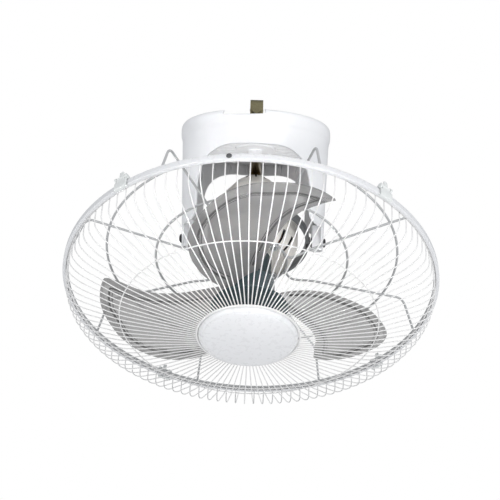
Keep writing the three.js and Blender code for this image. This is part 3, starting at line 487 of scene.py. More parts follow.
class Form:
    """The points and faces of one piece, in millimetres."""

    def __init__(self):
        self.points = []
        self.faces = []
        self.tints = []

    def add(self, points, faces, tint=0, matrix=None):
        start = len(self.points)
        for p in points:
            p = Vector(p)
            self.points.append(matrix @ p if matrix else p)
        self.faces += [tuple(start + i for i in face) for face in faces]
        self.tints += [tint] * len(faces)
        return self

    def rings(self, rings, closed_along=False, tint=0, matrix=None, caps=False):
        """Skins a list of rings that hold as many points each."""
        count = len(rings[0])
        points = [p for ring in rings for p in ring]
        faces = []
        for i in range(len(rings) if closed_along else len(rings) - 1):
            j = (i + 1) % len(rings)
            for k in range(count):
                n = (k + 1) % count
                faces.append((i * count + k, i * count + n, j * count + n, j * count + k))
        if caps:
            faces.append(tuple(range(count - 1, -1, -1)))
            faces.append(tuple((len(rings) - 1) * count + k for k in range(count)))
        return self.add(points, faces, tint, matrix)

    def lathe(self, outline, segments, tint=0, matrix=None):
        """A closed outline of (radius, z) turned about Z."""
        rings = []
        for k in range(segments):
            a = 2 * math.pi * k / segments
            rings.append([(r * math.cos(a), r * math.sin(a), z) for r, z in outline])
        return self.rings(rings, closed_along=True, tint=tint, matrix=matrix)

    def tube(self, path, radius, sides, tint=0, matrix=None):
        """Round wire along a path."""
        path = [Vector(p) for p in path]
        around = arc(0, 0, radius, 0, 2 * math.pi, sides)[:-1]
        ahead = []
        for before, after in zip(path[:1] + path, path[1:] + path[-1:]):
            ahead.append((after - before).normalized())
        side = ahead[0].orthogonal().normalized()
        rings = []
        for here, forward in zip(path, ahead):
            side = (side - forward * side.dot(forward)).normalized()
            up = forward.cross(side)
            rings.append([here + side * x + up * y for x, y in around])
        return self.rings(rings, tint=tint, matrix=matrix, caps=True)

    def hoop(self, radius, z, wire, sides, segments):
        return self.lathe(arc(radius, z, wire, 0, 2 * math.pi, sides)[:-1], segments)

    def plate(self, outline, z0, z1, edge, matrix=None):
        """A flat outline given thickness along Z, with its edges rounded."""
        middle = sum((Vector(p) for p in outline), Vector((0, 0))) / len(outline)
        levels = quarter_round(edge, (0, 0.3, 0.7, 1))
        heights = [(inset, z0 + height) for inset, height in levels]
        heights += [(inset, z1 - height) for inset, height in reversed(levels)]
        rings = [[(*self.drawn_in(p, middle, inset), z) for p in outline] for inset, z in heights]
        return self.rings(rings, matrix=matrix, caps=True)

    @staticmethod
    def drawn_in(point, middle, inset):
        away = Vector(point) - middle
        return middle + away * max(0.0, 1 - inset / max(away.length, 1e-6))

    def pin(self, radius, z0, z1, edge, segments, matrix=None):
        corners = [(0, z0, 0), (radius, z0, edge), (radius, z1, edge), (0, z1, 0)]
        return self.lathe(rounded(corners, 3), segments, matrix=matrix)

    def screw_head(self, radius, height, seat, shank, end):
        """A domed head and its shank, as one turned solid that can be cut."""
        side = [(0, end), (shank, end), (shank, seat), (radius * 0.96, seat)]
        for share, rise in ((1, 0.25), (0.9, 0.7), (0.55, 0.97), (0, 1)):
            side.append((radius * share, seat + height * rise))
        return self.lathe(side, 32)

    def across(self, outline, y0, y1):
        """An outline of (x, z) given thickness along Y."""
        return self.rings([[(x, y, z) for x, z in outline] for y in (y0, y1)], caps=True)

    def block(self, low, high, edge, matrix=None):
        (x0, y0, z0), (x1, y1, z1) = low, high
        corners = [(x0, y0, edge), (x1, y0, edge), (x1, y1, edge), (x0, y1, edge)]
        return self.plate(rounded(corners, 3), z0, z1, edge, matrix)

    def mesh(self, name, matrix):
        made = bmesh.new()
        vertices = [made.verts.new((matrix @ p) * MM) for p in self.points]
        for face, tint in zip(self.faces, self.tints):
            made.faces.new([vertices[i] for i in face]).material_index = tint
        bmesh.ops.remove_doubles(made, verts=made.verts, dist=2e-6)
        bmesh.ops.dissolve_degenerate(made, edges=made.edges, dist=1e-7)
        bmesh.ops.recalc_face_normals(made, faces=made.faces)
        mesh = bpy.data.meshes.new(name)
        made.to_mesh(mesh)
        made.free()
        return mesh

    def piece(self, name, matrix, materials, sharp=35):
        """The form as an object of the scene."""
        mesh = self.mesh(name, matrix)
        for key in materials:
            mesh.materials.append(finishes()[key])
        mesh.shade_smooth()
        mesh.set_sharp_from_angle(angle=math.radians(sharp))
        made = bpy.data.objects.new(name, mesh)
        bpy.context.scene.collection.objects.link(made)
        return made


def fitted(made, body, slot, *nodes):
    """Puts a piece on its body, in the place of the nodes that it stands for."""
    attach(made, body)
    if nodes:
        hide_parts(*nodes)


def extent(mesh):
    """A mesh's size along each axis."""
    if not mesh.vertices:
        return Vector((0, 0, 0))
    sides = list(zip(*(v.co for v in mesh.vertices)))
    return Vector(max(side) - min(side) for side in sides)


def carved(made, cutters, sharp=35):
    """Cuts the cutters out of a piece for good, removes them, and stops if the piece lost an end."""
    for cutter in cutters:
        change = made.modifiers.new("cut", "BOOLEAN")
        change.operation = "DIFFERENCE"
        change.solver = "EXACT"
        change.object = cutter
    bpy.context.view_layer.update()
    shape = made.evaluated_get(bpy.context.evaluated_depsgraph_get())
    mesh = bpy.data.meshes.new_from_object(shape)
    if (extent(mesh) - extent(made.data)).length > CUT_LEEWAY * MM:
        raise RuntimeError(f"{made.name} lost a part of itself in a cut")
    made.modifiers.clear()
    made.data = mesh
    mesh.shade_smooth()
    mesh.set_sharp_from_angle(angle=math.radians(sharp))
    for cutter in cutters:
        bpy.data.objects.remove(cutter)
    return made


def slotted_screw(name, lay, head, slot):
    """A black screw with one slot across its head."""
    made = Form().screw_head(*head).piece(name, lay, ["black"])
    half_length, half_width, floor, top = slot
    recess = Form().block((-half_length, -half_width, floor), (half_length, half_width, top), 0.1)
    return carved(made, [recess.piece("recess", lay, ["black"])])


def inner_faces_in_painted_shade(made, to_middle):
    """Gives the faces that are turned away from the outside the piece's second finish: painted shade on the
    inner faces that the cuts open to view.
    """
    back = to_middle.inverted()
    for face in made.data.polygons:
        outward = (back @ (face.center / MM)).normalized()
        if (back.to_3x3() @ face.normal).dot(outward) < 0.05:
            face.material_index = 1


def finished_nodes(names, key, edge):
    """Keeps nodes whose shape is right: their edges are eased and they get their finish."""
    for name in names:
        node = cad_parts[name]
        node.data.materials.clear()
        node.data.materials.append(finishes()[key])
        ease = node.modifiers.new("eased_edges", "BEVEL")
        ease.width = edge * MM
        ease.segments = 2
        ease.limit_method = "ANGLE"
        ease.angle_limit = math.radians(50)
        node.data.shade_smooth()
        node.data.set_sharp_from_angle(angle=math.radians(32))


# ---- Canopy ----------------------------------------------------------------------------------
LEG_END = -164
DRUM_R = 97.5
RIM_R = 97
UNROLLED_R = 95.0
SEAM = math.pi * UNROLLED_R
NOTCH_OFF, NOTCH_HALF, NOTCH_DEEP = 15, 27, 6
LINER_Z = -27.2
OUTER, INNER = range(2)


def drum_outside(z):
    lip = bpy.context.scene.fan_shells.lip / MM
    swell = ((-19.5, 0.35), (-17, 0.8), (-14, 0.97), (-10, 1), (-6, 0.92), (-3.5, 0.66), (-1.6, 0.2))
    table = [(LEG_END, 93.0), (-27, 97.4), (-22, 97.7)]
    table += [(height, DRUM_R + lip * share) for height, share in swell]
    return between([*table, (-0.5, 96.8), (0, 96.2)], z)


def drum_inside(z):
    wall = bpy.context.scene.fan_shells.wall / MM
    return between([(LEG_END, 93 - wall), (-22, 97.6 - wall), (-4, 94.6), (-3, 92.4), (0, 92.2)], z)


def arch_edge():
    """The opening's edge from the middle of the arch to the end of a leg, as (x, z)."""
    bends = [
        ((0, -44), (15, -44), (30, -44)),
        ((30, -44), (55, -46), (66, -65)),
        ((66, -65), (72.5, -78), (72.5, -94)),
        ((72.5, -94), (72.5, -107), (72.5, -121)),
        ((72.5, -121), (73.5, -135), (90.93, -135.4)),
        ((90.93, -135.4), (91.4, -157), (92.6, -163.4)),
    ]
    points = []
    for a, b, c in bends:
        points += bend(Vector(a), Vector(b), Vector(c), 10)[:-1]
    return points


def shell_outline():
    """The unrolled wall's closed outline, as (distance round, z): the legs' edges, then the notched rim."""
    quarter = [(math.acos(min(1.0, x / drum_outside(z))), z) for x, z in arch_edge()]
    lower = [(-math.pi, LEG_END)]
    lower += [(-math.pi + a, z) for a, z in reversed(quarter[1:])]
    lower += [(-a, z) for a, z in quarter]
    lower.append((0.0, LEG_END))
    lower += [(a, z) for a, z in reversed(quarter)]
    lower += [(math.pi - a, z) for a, z in quarter[1:]]
    lower.append((math.pi, LEG_END))
    middle, half = -math.pi / 2 - NOTCH_OFF / RIM_R, NOTCH_HALF / RIM_R
    right, left = (middle + half) * UNROLLED_R, (middle - half) * UNROLLED_R
    corners = [(right, 0, 1), (right, -NOTCH_DEEP, 2), (left, -NOTCH_DEEP, 2), (left, 0, 1), (-200, 40, 0)]
    notch = rounded(corners, 4)[:-1]
    upper = [(SEAM * (1 - k / 60), 0.0) for k in range(60)] + [(-k * 2.5, 0.0) for k in range(47)] + notch
    start = notch[-1][0]
    upper += [(start - (start + SEAM) * k / 40, 0.0) for k in range(1, 41)]
    return [(a * UNROLLED_R, z) for a, z in lower] + upper


def drawn_inward(outline, distance):
    """The outline moved inward by a distance, seam ends kept on the seam."""
    made = []
    for i, (s, z) in enumerate(outline):
        if abs(abs(s) - SEAM) < 1e-6:
            made.append((s, z + (distance if z < -1 else -distance)))
            continue
        before, after = Vector(outline[i - 1]), Vector(outline[(i + 1) % len(outline)])
        ahead = (after - before).normalized()
        made.append((s - ahead.y * distance, z + ahead.x * distance))
    return made


def on_wall(point, depth):
    """A point of the unrolled wall, at a share of the wall's depth."""
    s, z = point
    outside, inside = drum_outside(z), drum_inside(z)
    radius = outside + (inside - outside) * depth
    angle = s / UNROLLED_R
    return (radius * math.cos(angle), radius * math.sin(angle), z)


def thinned(outline):
    """The outline without points that are under half a millimetre from the one before."""
    kept = [outline[0]]
    for point in outline[1:]:
        if (Vector(point) - Vector(kept[-1])).length >= 0.5:
            kept.append(point)
    return kept


def canopy_shell():
    """The drum and legs as one wall: its two skins, and the rounded edge that joins them."""
    sizes = bpy.context.scene.fan_shells
    edge, wall = sizes.edge / MM, sizes.wall / MM
    outline = thinned(shell_outline())
    inset = drawn_inward(outline, edge)
    rows = [-0.5, -1.2, -2.2, -3.5, -5, -6.6, -8.5, -10.5, -12.5, -14.5, -16.5, -18.5, -20.5, -23, -26]
    rows += [-30 - 4.5 * k for k in range(30)]
    limits = [Vector(p) for p in inset]
    inner = [(SEAM * k / 80, z) for z in rows for k in range(-79, 80)]
    inner = [p for p in inner if min((Vector(p) - q).length_squared for q in limits) > 1.0]
    edges = [(i, (i + 1) % len(inset)) for i in range(len(inset))]
    made = delaunay_2d_cdt([Vector(p) for p in inset + inner], edges, [tuple(range(len(inset)))], 1, 1e-5)
    flat, faces = made[0], made[2]
    form = Form()
    form.add([on_wall(p, 0) for p in flat], faces, OUTER)
    # The inner skin takes the second finish, a grey of painted shade.
    form.add([on_wall(p, 1) for p in flat], faces, INNER)
    loops = [(distance, deep / wall) for distance, deep in quarter_round(edge, (0, 0.35, 0.7, 1))]
    loops += [(distance, 1 - depth) for distance, depth in reversed(loops)]
    rings = [[on_wall(p, depth) for p in drawn_inward(outline, distance)] for distance, depth in loops]
    return form.rings(rings)


def inner_ledge_and_ribs(form):
    """The ledge that seats the hanger plate, the ribs below it, and the channel inside each leg."""
    rib = bpy.context.scene.fan_shells.rib / MM
    ledge = [(95, -25.6, 0), (80.3, -25.6, 0.5), (80.3, -28.4, 0.8), (95, -28.4, 0)]
    form.lathe(rounded(ledge, 3), 144, INNER)
    for k in range(24):
        degrees = 7.5 + 15 * k
        low = -42 if abs(math.cos(math.radians(degrees))) < 0.7 else -60
        path = [(drum_inside(z) - rib * 0.3, 0, z) for z in (-27, -34, low)]
        form.tube(round_about(path, degrees), rib, 8, tint=INNER)
    for side in (0, 180):
        for y in (9.5, -12.5):
            form.block((78.1, y, -163), (91.2, y + 3, -128.1), 0.7, matrix=turned(side))
        form.block((78.1, -12.5, -131), (91.4, 12.5, -128.1), 0.7, matrix=turned(side))
    return form


class FAN_OT_canopy(bpy.types.Operator):
    """Canopy drum with its legs, and the liner that closes it from below"""

    bl_idname = "fan.canopy"
    bl_label = "Canopy"

    def execute(self, context):
        made = inner_ledge_and_ribs(canopy_shell()).piece("canopy_shell", TO_CANOPY, ["shell", "inside"], 40)
        fitted(made, "yoke", "canopy_plastic", "canopy_yoke")
        holes = Form()
        for side in (0, 180):
            lay = Matrix.Translation((0, 0, CROSSING_Z - RIM_Z)) @ turned(side) @ turned(90, "Y")
            holes.pin(3.4, 80, 110, 0.1, 32, matrix=lay)
        # The holes' walls take the inside grey, painted shade.
        carved(made, [holes.piece("pivot_holes", TO_CANOPY, ["inside"])], 40)
        liner = Form()
        outline = [(27, -25.7, 0.3), (79.6, -25.7, 0.3), (79.6, LINER_Z, 0.6), (27, LINER_Z, 0.6)]
        liner.lathe(rounded(outline, 3), 96)
        for k in range(16):
            liner.tube(round_about([(30, 0, LINER_Z), (78, 0, LINER_Z)], 11.25 + 22.5 * k), 0.9, 8)
        liner.hoop(54, LINER_Z, 0.9, 8, 96)
        fitted(liner.piece("canopy_liner", TO_CANOPY, ["liner"]), "yoke", "canopy_plastic")
        return {"FINISHED"}


class FAN_OT_hanger(bpy.types.Operator):
    """Strap, cross bolt, roller, plate, wiring and orbit bearing at the top"""

    bl_idname = "fan.hanger"
    bl_label = "Hanger"

    def execute(self, context):
        finished_nodes(["hanger_strap", "hanger_bolt", "hanger_nut"], "zinc", 0.4)
        # The plate's dark grey is painted shade.
        finished_nodes(["hanger_plate"], "dark_plate", 0.3)
        finished_nodes(["hook_roller"], "rubber", 0.4)
        screws = [f"plate_screw_{i}" for i in (1, 2, 3, 4)] + ["strap_screw_1", "strap_screw_2"]
        finished_nodes(screws + ["crank_retainer"], "bright", 0.3)
        finished_nodes(["run_capacitor"], "black", 0.5)
        finished_nodes(["terminal_block"], "nylon", 0.4)
        # The orbit bearing takes the liner's finish, with its glow of painted light.
        finished_nodes(["orbit_bearing"], "liner", 0.4)
        return {"FINISHED"}


class FAN_OT_leg_pivots(bpy.types.Operator):
    """Ribbed bushes and screws at the ends of the legs"""

    bl_idname = "fan.leg_pivots"
    bl_label = "Leg pivots"

    def execute(self, context):
        outline = [(3.3, 76.8), (5.6, 76.8), (6.9, 77.6), *ribbed_side(6.95, 78.2, 7)]
        outline += [(6.95, 88.9), (6.6, 89.35), (3.3, 89.35)]
        head, slot = (6.1, 2.9, 93.95, 2.95, 78), (3.2, 0.55, 95.6, 98)
        for name, side in (("right", 90), ("left", -90)):
            lay = TO_CROSSING @ turned(side, "Y")
            bush = Form().lathe(outline, 48).piece(f"ribbed_bush_{name}", lay, ["black"], 30)
            fitted(bush, "yoke", "black_plastic", f"leg_bush_{name}")
            screw = slotted_screw(f"pivot_screw_{name}", lay, head, slot)
            fitted(screw, "yoke", "black_plastic", f"leg_screw_{name}")
        return {"FINISHED"}


# ---- Crank and gears -------------------------------------------------------------------------
ARM_HEIGHT = 111


class FAN_OT_crank(bpy.types.Operator):
    """Crank lever that carries the head round, with the gears that turn it"""

    bl_idname = "fan.crank"
    bl_label = "Crank and gears"

    def execute(self, context):
        pin = [(0, 107, 0), (6, 107, 0.2), (6, 135.8, 0.3), (4.5, 135.8, 0.2)]
        pin += [(4.5, 140.7, 0.5), (0, 140.7, 0)]
        collar = [(0, 115, 0), (9, 115, 0.2), (9, 122.2, 0.5), (0, 122.2, 0)]
        lever = Form().lathe(rounded(pin, 3), 48).lathe(rounded(collar, 3), 48, 1)
        reach = ARM_HEIGHT / math.cos(TILT) * math.sin(TILT)
        arm = arc(0, 0, 7, math.pi, math.pi, 24) + arc(0, reach, 8.9, 0, math.pi, 24)
        lever.plate(arm, ARM_HEIGHT - 4.95, ARM_HEIGHT + 4.95, 0.8)
        tilt = Matrix.Rotation(-TILT, 4, "X")
        lever.pin(7.95, 106.6, 131.5, 0.4, 48, matrix=tilt)
        lever.pin(4.95, 88.5, 108, 0.3, 48, matrix=tilt)
        lever.pin(3.95, 76.2, 90, 0.3, 40, matrix=tilt)
        # The crank's collar takes the liner's finish, with its glow of painted light.
        made = lever.piece("crank_lever", TO_CROSSING, ["crank", "liner"])
        # The lever's near-black plate is painted shade.
        fitted(made, "crank", "zinc_steel", "crank_arm")
        finished_nodes(["crown_gear", "worm_wheel"], "nylon", 0.15)
        finished_nodes(["pinion_shaft", "dome_bush"], "brass", 0.15)
        finished_nodes(["clutch_spring"], "bright", 0.2)
        finished_nodes(["gearbox_frame"], "zinc", 0.3)
        return {"FINISHED"}


# ---- Motor -----------------------------------------------------------------------------------
MOTOR_R, MOTOR_INSIDE = 60, 57.5
BOWL_VENT_DEGREES = (75, 92, 195, 212, 315, 332)


class FAN_OT_motor(bpy.types.Operator):
    """Motor covers and neck, and the electric parts closed inside them"""

    bl_idname = "fan.motor"
    bl_label = "Motor"

    def execute(self, context):
        outline = [(MOTOR_R, 9.9, 0.4), (MOTOR_R, -4, 6), (58.4, -16, 8), (53, -27, 8), (46, -33.95, 3)]
        outline += [(24.4, -33.95, 0), (24.4, -31.6, 0), (45, -31.5, 3), (51.5, -24, 6)]
        outline += [(MOTOR_INSIDE, -4, 6), (MOTOR_INSIDE, 9.9, 0.2)]
        bowl = Form().lathe(rounded(outline, 6), 160)
        boss = rounded([(4.3, 56, 0), (10.5, 56, 0), (9, 60.6, 2.5), (8.95, 68.6, 0.6), (4.3, 68.6, 0.3)], 4)
        for side in (-90, 90):
            bowl.lathe(boss, 64, matrix=turned(side, "X"))
        pad = rounded([(1.9, -31.7, 0), (5.6, -31.7, 0), (5.4, -33.98, 0.2), (1.9, -33.98, 0)], 2)
        for degrees in MOUNT_SCREW_DEGREES:
            bowl.lathe(pad, 32, matrix=at_mount_screw(degrees))
        # The bowl's second finish, black, is painted shade on its inner faces behind the vents.
        made = bowl.piece("motor_bowl", TO_HEAD, ["motor", "black"])
        vent = rounded([(44.5, -1.6, 1.5), (62, -2.3, 1.5), (62, 2.3, 1.5), (44.5, 1.6, 1.5)], 4)
        cutters = []
        for degrees in BOWL_VENT_DEGREES:
            form = Form().plate(vent, -40, -15, 0.01, matrix=turned(degrees))
            cutters.append(form.piece(f"vent_{degrees}", TO_HEAD, ["black"]))
        inner_faces_in_painted_shade(carved(made, cutters), TO_HEAD)
        fitted(made, "head", "motor_paint", "motor_front_cover")
        outline = [(25.9, -33.2, 0.2), (25.9, -64.5, 1.2), (24.4, -66, 0.6), (11.4, -66, 0.3)]
        outline += [(11.4, -54.2, 0.2), (23.6, -54.2, 1), (23.6, -33.2, 0.2)]
        neck = Form().lathe(rounded(outline, 4), 96)
        for k in range(6):
            neck.tube(round_about([(25.8, 0, -34.5), (25.8, 0, -63)], 20 + 60 * k), 0.9, 8)
        fitted(neck.piece("motor_neck", TO_HEAD, ["neck"]), "head", "motor_paint", "motor_front_cover")
        outline = [(MOTOR_R, 10.4, 0.5), (MOTOR_R, 28, 5), (55, 40, 5), (51, 52, 4), (47, 57.45, 1)]
        outline += [(9.4, 57.45, 0.3), (9.4, 47.6, 0.2), (14, 47.6, 0.3), (14, 54.5, 0.3), (44.5, 54.5, 2)]
        outline += [(52.6, 39, 4), (MOTOR_INSIDE, 27, 4), (MOTOR_INSIDE, 10.4, 0.2)]
        rear = Form().lathe(rounded(outline, 6), 160).hoop(59.7, 12.6, 0.5, 8, 160)
        fitted(rear.piece("motor_rear_shell", TO_HEAD, ["motor"]), "head", "motor_paint", "motor_rear_cover")
        finished_nodes(["winding_front", "winding_rear"], "copper", 0.8)
        finished_nodes(["stator_core", "rotor_core"], "core", 0.3)
        finished_nodes(["bearing_front", "bearing_rear", "motor_shaft"], "bright", 0.15)
        return {"FINISHED"}


class FAN_OT_dome(bpy.types.Operator):
    """Slotted dome over the gears at the motor's rear"""

    bl_idname = "fan.dome"
    bl_label = "Gear dome"

    def execute(self, context):
        outline = [(47, 57.9, 0.3), (45.5, 66, 6), (31, 91, 10), (22, 102, 5), (18, 104.4, 2)]
        outline += [(9.7, 104.4, 0.4), (9.7, 91.2, 0.2), (13, 91.2, 0.4), (13, 100.5, 0.3), (18, 100.5, 1)]
        outline += [(29, 88.7, 8), (43.2, 65.5, 5), (44.8, 57.9, 0.2)]
        # The dome's second finish, black, is painted shade on its inner faces under the slots.
        made = Form().lathe(rounded(outline, 7), 144).piece("gearbox_dome", TO_HEAD, ["motor", "black"])
        half = bpy.context.scene.fan_shells.vent / MM / 2
        ends = arc(22.5, 0, half, math.pi / 2, math.pi, 8) + arc(32.5, 0, half, -math.pi / 2, math.pi, 8)
        cutters = []
        for k in range(16):
            slot = Form().plate(ends, 82, 108, 0.01, matrix=turned(22.5 * k + 3))
            cutters.append(slot.piece(f"slot_{k}", TO_HEAD, ["black"]))
        inner_faces_in_painted_shade(carved(made, cutters), TO_HEAD @ Matrix.Translation((0, 0, 60)))
        fitted(made, "head", "motor_paint", "gear_dome")
        return {"FINISHED"}


# ---- Gimbal ring -----------------------------------------------------------------------------
class FAN_OT_gimbal(bpy.types.Operator):
    """Universal ring between the legs and the motor, with its two pins"""

    bl_idname = "fan.gimbal"
    bl_label = "Universal ring"

    def execute(self, context):
        section = [(70.05, -5.9, 1), (74.95, -5.9, 1), (74.95, 5.9, 1), (70.05, 5.9, 1)]
        made = Form().lathe(rounded(section, 4), 160).piece("gimbal_ring", TO_HEAD, ["gimbal"])
        boss = [(3.3, 70.6), (7.2, 70.6), *ribbed_side(7.95, 71.2, 3)]
        boss += [(7.9, 75.5), (7.4, 75.95), (3.3, 75.95)]
        holes, bosses = Form(), Form()
        for side in (-90, 90):
            holes.pin(4.3, 68, 78, 0.05, 32, matrix=turned(side, "X"))
            holes.pin(4.5, 68, 78, 0.05, 32, matrix=turned(side, "Y"))
            bosses.lathe(boss, 48, matrix=turned(side, "Y"))
        carved(made, [holes.piece("ring_holes", TO_HEAD, ["gimbal"])])
        fitted(made, "ring", "ring_paint", "universal_ring")
        fitted(bosses.piece("gimbal_bosses", TO_HEAD, ["black"]), "ring", "black_plastic", "universal_ring")
        head, slot = (6.9, 2.5, 75.35, 3.95, 59.2), (5, 0.7, 76.8, 79)
        for name, side in (("front", 90), ("rear", -90)):
            screw = slotted_screw(f"gimbal_pin_{name}", TO_HEAD @ turned(side, "X"), head, slot)
            fitted(screw, "ring", "black_plastic", f"ring_pin_{name}")
        return {"FINISHED"}


# ---- Blades ----------------------------------------------------------------------------------
# Each row is a radius, the trailing edge's degrees behind the tip corner and its height in front
# of BLADE_FRONT, and the same two for the leading edge.
BLADE_EDGES = [
    (28, 10, -19, 84, 7),
    (55, 12.7, -18.5, 83, 8),
    (75, 13.1, -16.8, 79.5, 9),
    (100, 12.9, -15.8, 73, 9.5),
    (125, 11.3, -17.2, 65.5, 12),
    (150, 7.3, -19.4, 58.5, 13.3),
    (165, 3, -20.7, 52.5, 14),
    (178, 0.4, -20, 46.8, 12.2),
    (184, -0.8, -18.5, 43.9, 10.3),
    (187.3, -1, -17, 42.2, 9.1),
    (190, 1.4, -15.3, 40.8, 8),
    (193.5, 4.4, -13.8, 38.4, 6.2),
    (196.5, 7.8, -12.2, 35.6, 4),
    (199.2, 12, -9.7, 31.8, 1.6),
    (200.9, 17.5, -7, 27.5, -1),
]
BLADE_FRONT = 91.0
BLADE_TIP = BLADE_EDGES[-1][0]
BLADE_MARGIN = (0, 0.25, 0.7, 1.4, 3, 6, 11)
BLADE_COLUMNS = 15
EDGE_ROUND = 1.3
BORDER_WIDTH = 11.5
RIDGE_START_R = 46
RIDGE_LINES = ((12, 1.9), (16, 0.7))
RIDGE, HUB, BORDER = 1, 2, 3


def eased(column, at):
    """A smooth value of one column at a radius, so that a blade's edge has no corners."""
    table = [(row[0], row[column]) for row in BLADE_EDGES]
    reach = 6 if at < 170 else 1.2
    return (between(table, at - reach) + 2 * between(table, at) + between(table, at + reach)) / 4


def blade_surface(radius, behind):
    """A point of the blade's middle surface: behind is in degrees behind its tip corner."""
    start, end = eased(1, radius), eased(3, radius)
    across = (behind - start) / (end - start)
    forward = BLADE_FRONT + eased(2, radius) * (1 - across) + eased(4, radius) * across
    around = math.radians(60 - behind)
    return Vector((radius * math.cos(around), radius * math.sin(around), -forward))


def blade_outline():
    """The blade's edge seen along its axis, as (radius, degrees behind), from root to root."""
    radii = [38 + 2 * k for k in range(74)] + [185 + 0.5 * k for k in range(32)]
    trailing = [(r, eased(1, r)) for r in radii]
    leading = [(r, eased(3, r)) for r in reversed(radii)]
    return trailing + leading


def border_line(inset):
    """A line on the blade's front that keeps a distance from its edge."""
    flat = []
    for radius, behind in blade_outline():
        a = math.radians(behind)
        flat.append(Vector((radius * math.cos(a), radius * math.sin(a))))
    line = []
    for before, here, after in zip(flat, flat[1:], flat[2:]):
        ahead = (after - before).normalized()
        moved = here + Vector((-ahead.y, ahead.x)) * inset
        if min((moved - q).length for q in flat) < inset - 0.3 or moved.length < RIDGE_START_R:
            continue
        if line and (moved - line[-1]).length < 1.6:
            continue
        line.append(moved)
    return [(p.length, math.degrees(math.atan2(p.y, p.x))) for p in line]


def blade(form, turn):
    """One blade: its skin, the darker border of that skin, and the raised lines on its front."""
    sizes = bpy.context.scene.fan_cage
    half, ridge = sizes.blade / MM / 2, sizes.ridge / MM
    radii = [28 + 5.5 * k for k in range(28)]
    radii += [180, 183, 186, 188, 190, 192, 194, 196, 197.5, 199, 200, 200.6, BLADE_TIP]
    rings = []
    for radius in radii:
        start, end = eased(1, radius), eased(3, radius)
        width = math.radians(end - start) * radius
        edge = [d * min(1.0, width / 60) for d in BLADE_MARGIN]
        middle = width - 2 * edge[-1]
        places = edge + [edge[-1] + middle * (k + 1) / (BLADE_COLUMNS + 1) for k in range(BLADE_COLUMNS)]
        places += [width - d for d in reversed(edge)]
        top, bottom = [], []
        for d in places:
            point = blade_surface(radius, start + math.degrees(d / radius))
            near = min(d, width - d, BLADE_TIP + 0.1 - radius, EDGE_ROUND)
            thick = half * math.sqrt(max(0.0, 1 - (1 - near / EDGE_ROUND) ** 2)) + 0.04
            top.append(point + Vector((0, 0, -thick)))
            bottom.append(point + Vector((0, 0, thick)))
        rings.append([turn @ p for p in top + list(reversed(bottom))])
    start, count, margin = len(form.faces), len(places), len(BLADE_MARGIN)
    form.rings(rings, caps=True)
    for i, radius in enumerate(radii[:-1]):
        for k in range(2 * count):
            row = k % count
            if row < margin - 1 or row >= count - margin or radius > BLADE_TIP - BORDER_WIDTH:
                form.tints[start + i * 2 * count + k] = BORDER
    # The raised lines take the ridge finish, darkened as painted shade.
    for inset, share in RIDGE_LINES:
        path = [blade_surface(*place) + Vector((0, 0, -half)) for place in border_line(inset)]
        form.tube(path, ridge * share, 8, tint=RIDGE, matrix=turn)


class FAN_OT_blades(bpy.types.Operator):
    """Smoke plastic blades on their hub, and the nut that holds them"""

    bl_idname = "fan.blades"
    bl_label = "Blades"

    def execute(self, context):
        form = Form()
        for k in range(3):
            blade(form, turned(120 * k))
        hub = [(4.4, -92.1, 0.3), (9, -92.1, 0.5), (9, -109, 1), (28.5, -109, 1.5), (28.5, -72.1, 0.4)]
        hub += [(31, -72.1, 0.6), (31, -106, 3), (45, -109.4, 2), (48.5, -111.2, 0.5), (48, -112.8, 0.6)]
        hub += [(27, -111.95, 2), (4.4, -111.95, 0.4)]
        form.lathe(rounded(hub, 4), 96, HUB)
        made = form.piece("smoke_blades", TO_HEAD, ["smoke", "ridge", "hub", "border"], 50)
        fitted(made, "rotor", "blade_plastic", "fan_blades")
        finished_nodes(["blade_nut"], "black", 0.4)
        return {"FINISHED"}


# ---- Guards ----------------------------------------------------------------------------------
GUARD_RING_R = 229.6
BAND_OUTSIDE, BAND_INSIDE = 235, 230.85
DISC_FACE = -162
FIRST_WIRE_DEGREES = 269.65
SPOKE_PROFILE = [(229, 82.45), (219.1, 40), (213.1, 33.5), (85, 42), (66, 46.6)]
SPOKE_PROFILE += [(56, 47.6), (50.5, 44), (46, 35.8)]
FRONT_PROFILE = [(229.1, 85.7), (228.8, 92), (228.4, 100), (227.4, 106.5), (224.4, 112), (217, 118.3)]
FRONT_PROFILE += [(205, 124.4), (185, 130.6), (158.4, 138.8), (110, 146.6), (62.6, 153.8)]


def polar(rho, degrees, forward):
    a = math.radians(degrees)
    return (rho * math.cos(a), rho * math.sin(a), -forward)


class FAN_OT_rear_guard(bpy.types.Operator):
    """Rear guard's wheel of spokes and rings"""

    bl_idname = "fan.rear_guard"
    bl_label = "Rear guard"

    def execute(self, context):
        sizes = bpy.context.scene.fan_cage
        wire, ring = sizes.spoke_wire / MM, sizes.ring_wire / MM
        form = Form().hoop(GUARD_RING_R, -82.45, ring, 12, 200)
        for radius, z, segments in ((187.6, -33, 180), (124, -37.2, 140), (46, -35.8, 96)):
            form.hoop(radius, z, wire, 12, segments)
        for degrees in SPOKE_DEGREES:
            path = [polar(rho, degrees, forward) for rho, forward in SPOKE_PROFILE]
            form.tube(open_bend(path, 8), wire, 12)
        eye = rounded([(2, -34.35, 0.1), (5.5, -34.35, 0.4), (5.5, -36.05, 0.4), (2, -36.05, 0.1)], 3)
        for degrees in MOUNT_SCREW_DEGREES:
            form.lathe(eye, 32, matrix=at_mount_screw(degrees))
            form.block((4.2, -2.6, -36), (6.6, 2.6, -34.4), 0.3, at_mount_screw(degrees))
        fitted(form.piece("rear_cage", TO_HEAD, ["back_wire"]), "head", "guard_wire", "rear_guard")
        for i, degrees in enumerate(MOUNT_SCREW_DEGREES, 1):
            lay = TO_HEAD @ at_mount_screw(degrees) @ turned(180, "X")
            made = Form().screw_head(3.35, 2.1, 36.4, 1.55, 28.5).piece(f"cage_screw_{i}", lay, ["bright"])
            fitted(made, "head", "bright_steel", f"guard_screw_{i}")
        return {"FINISHED"}


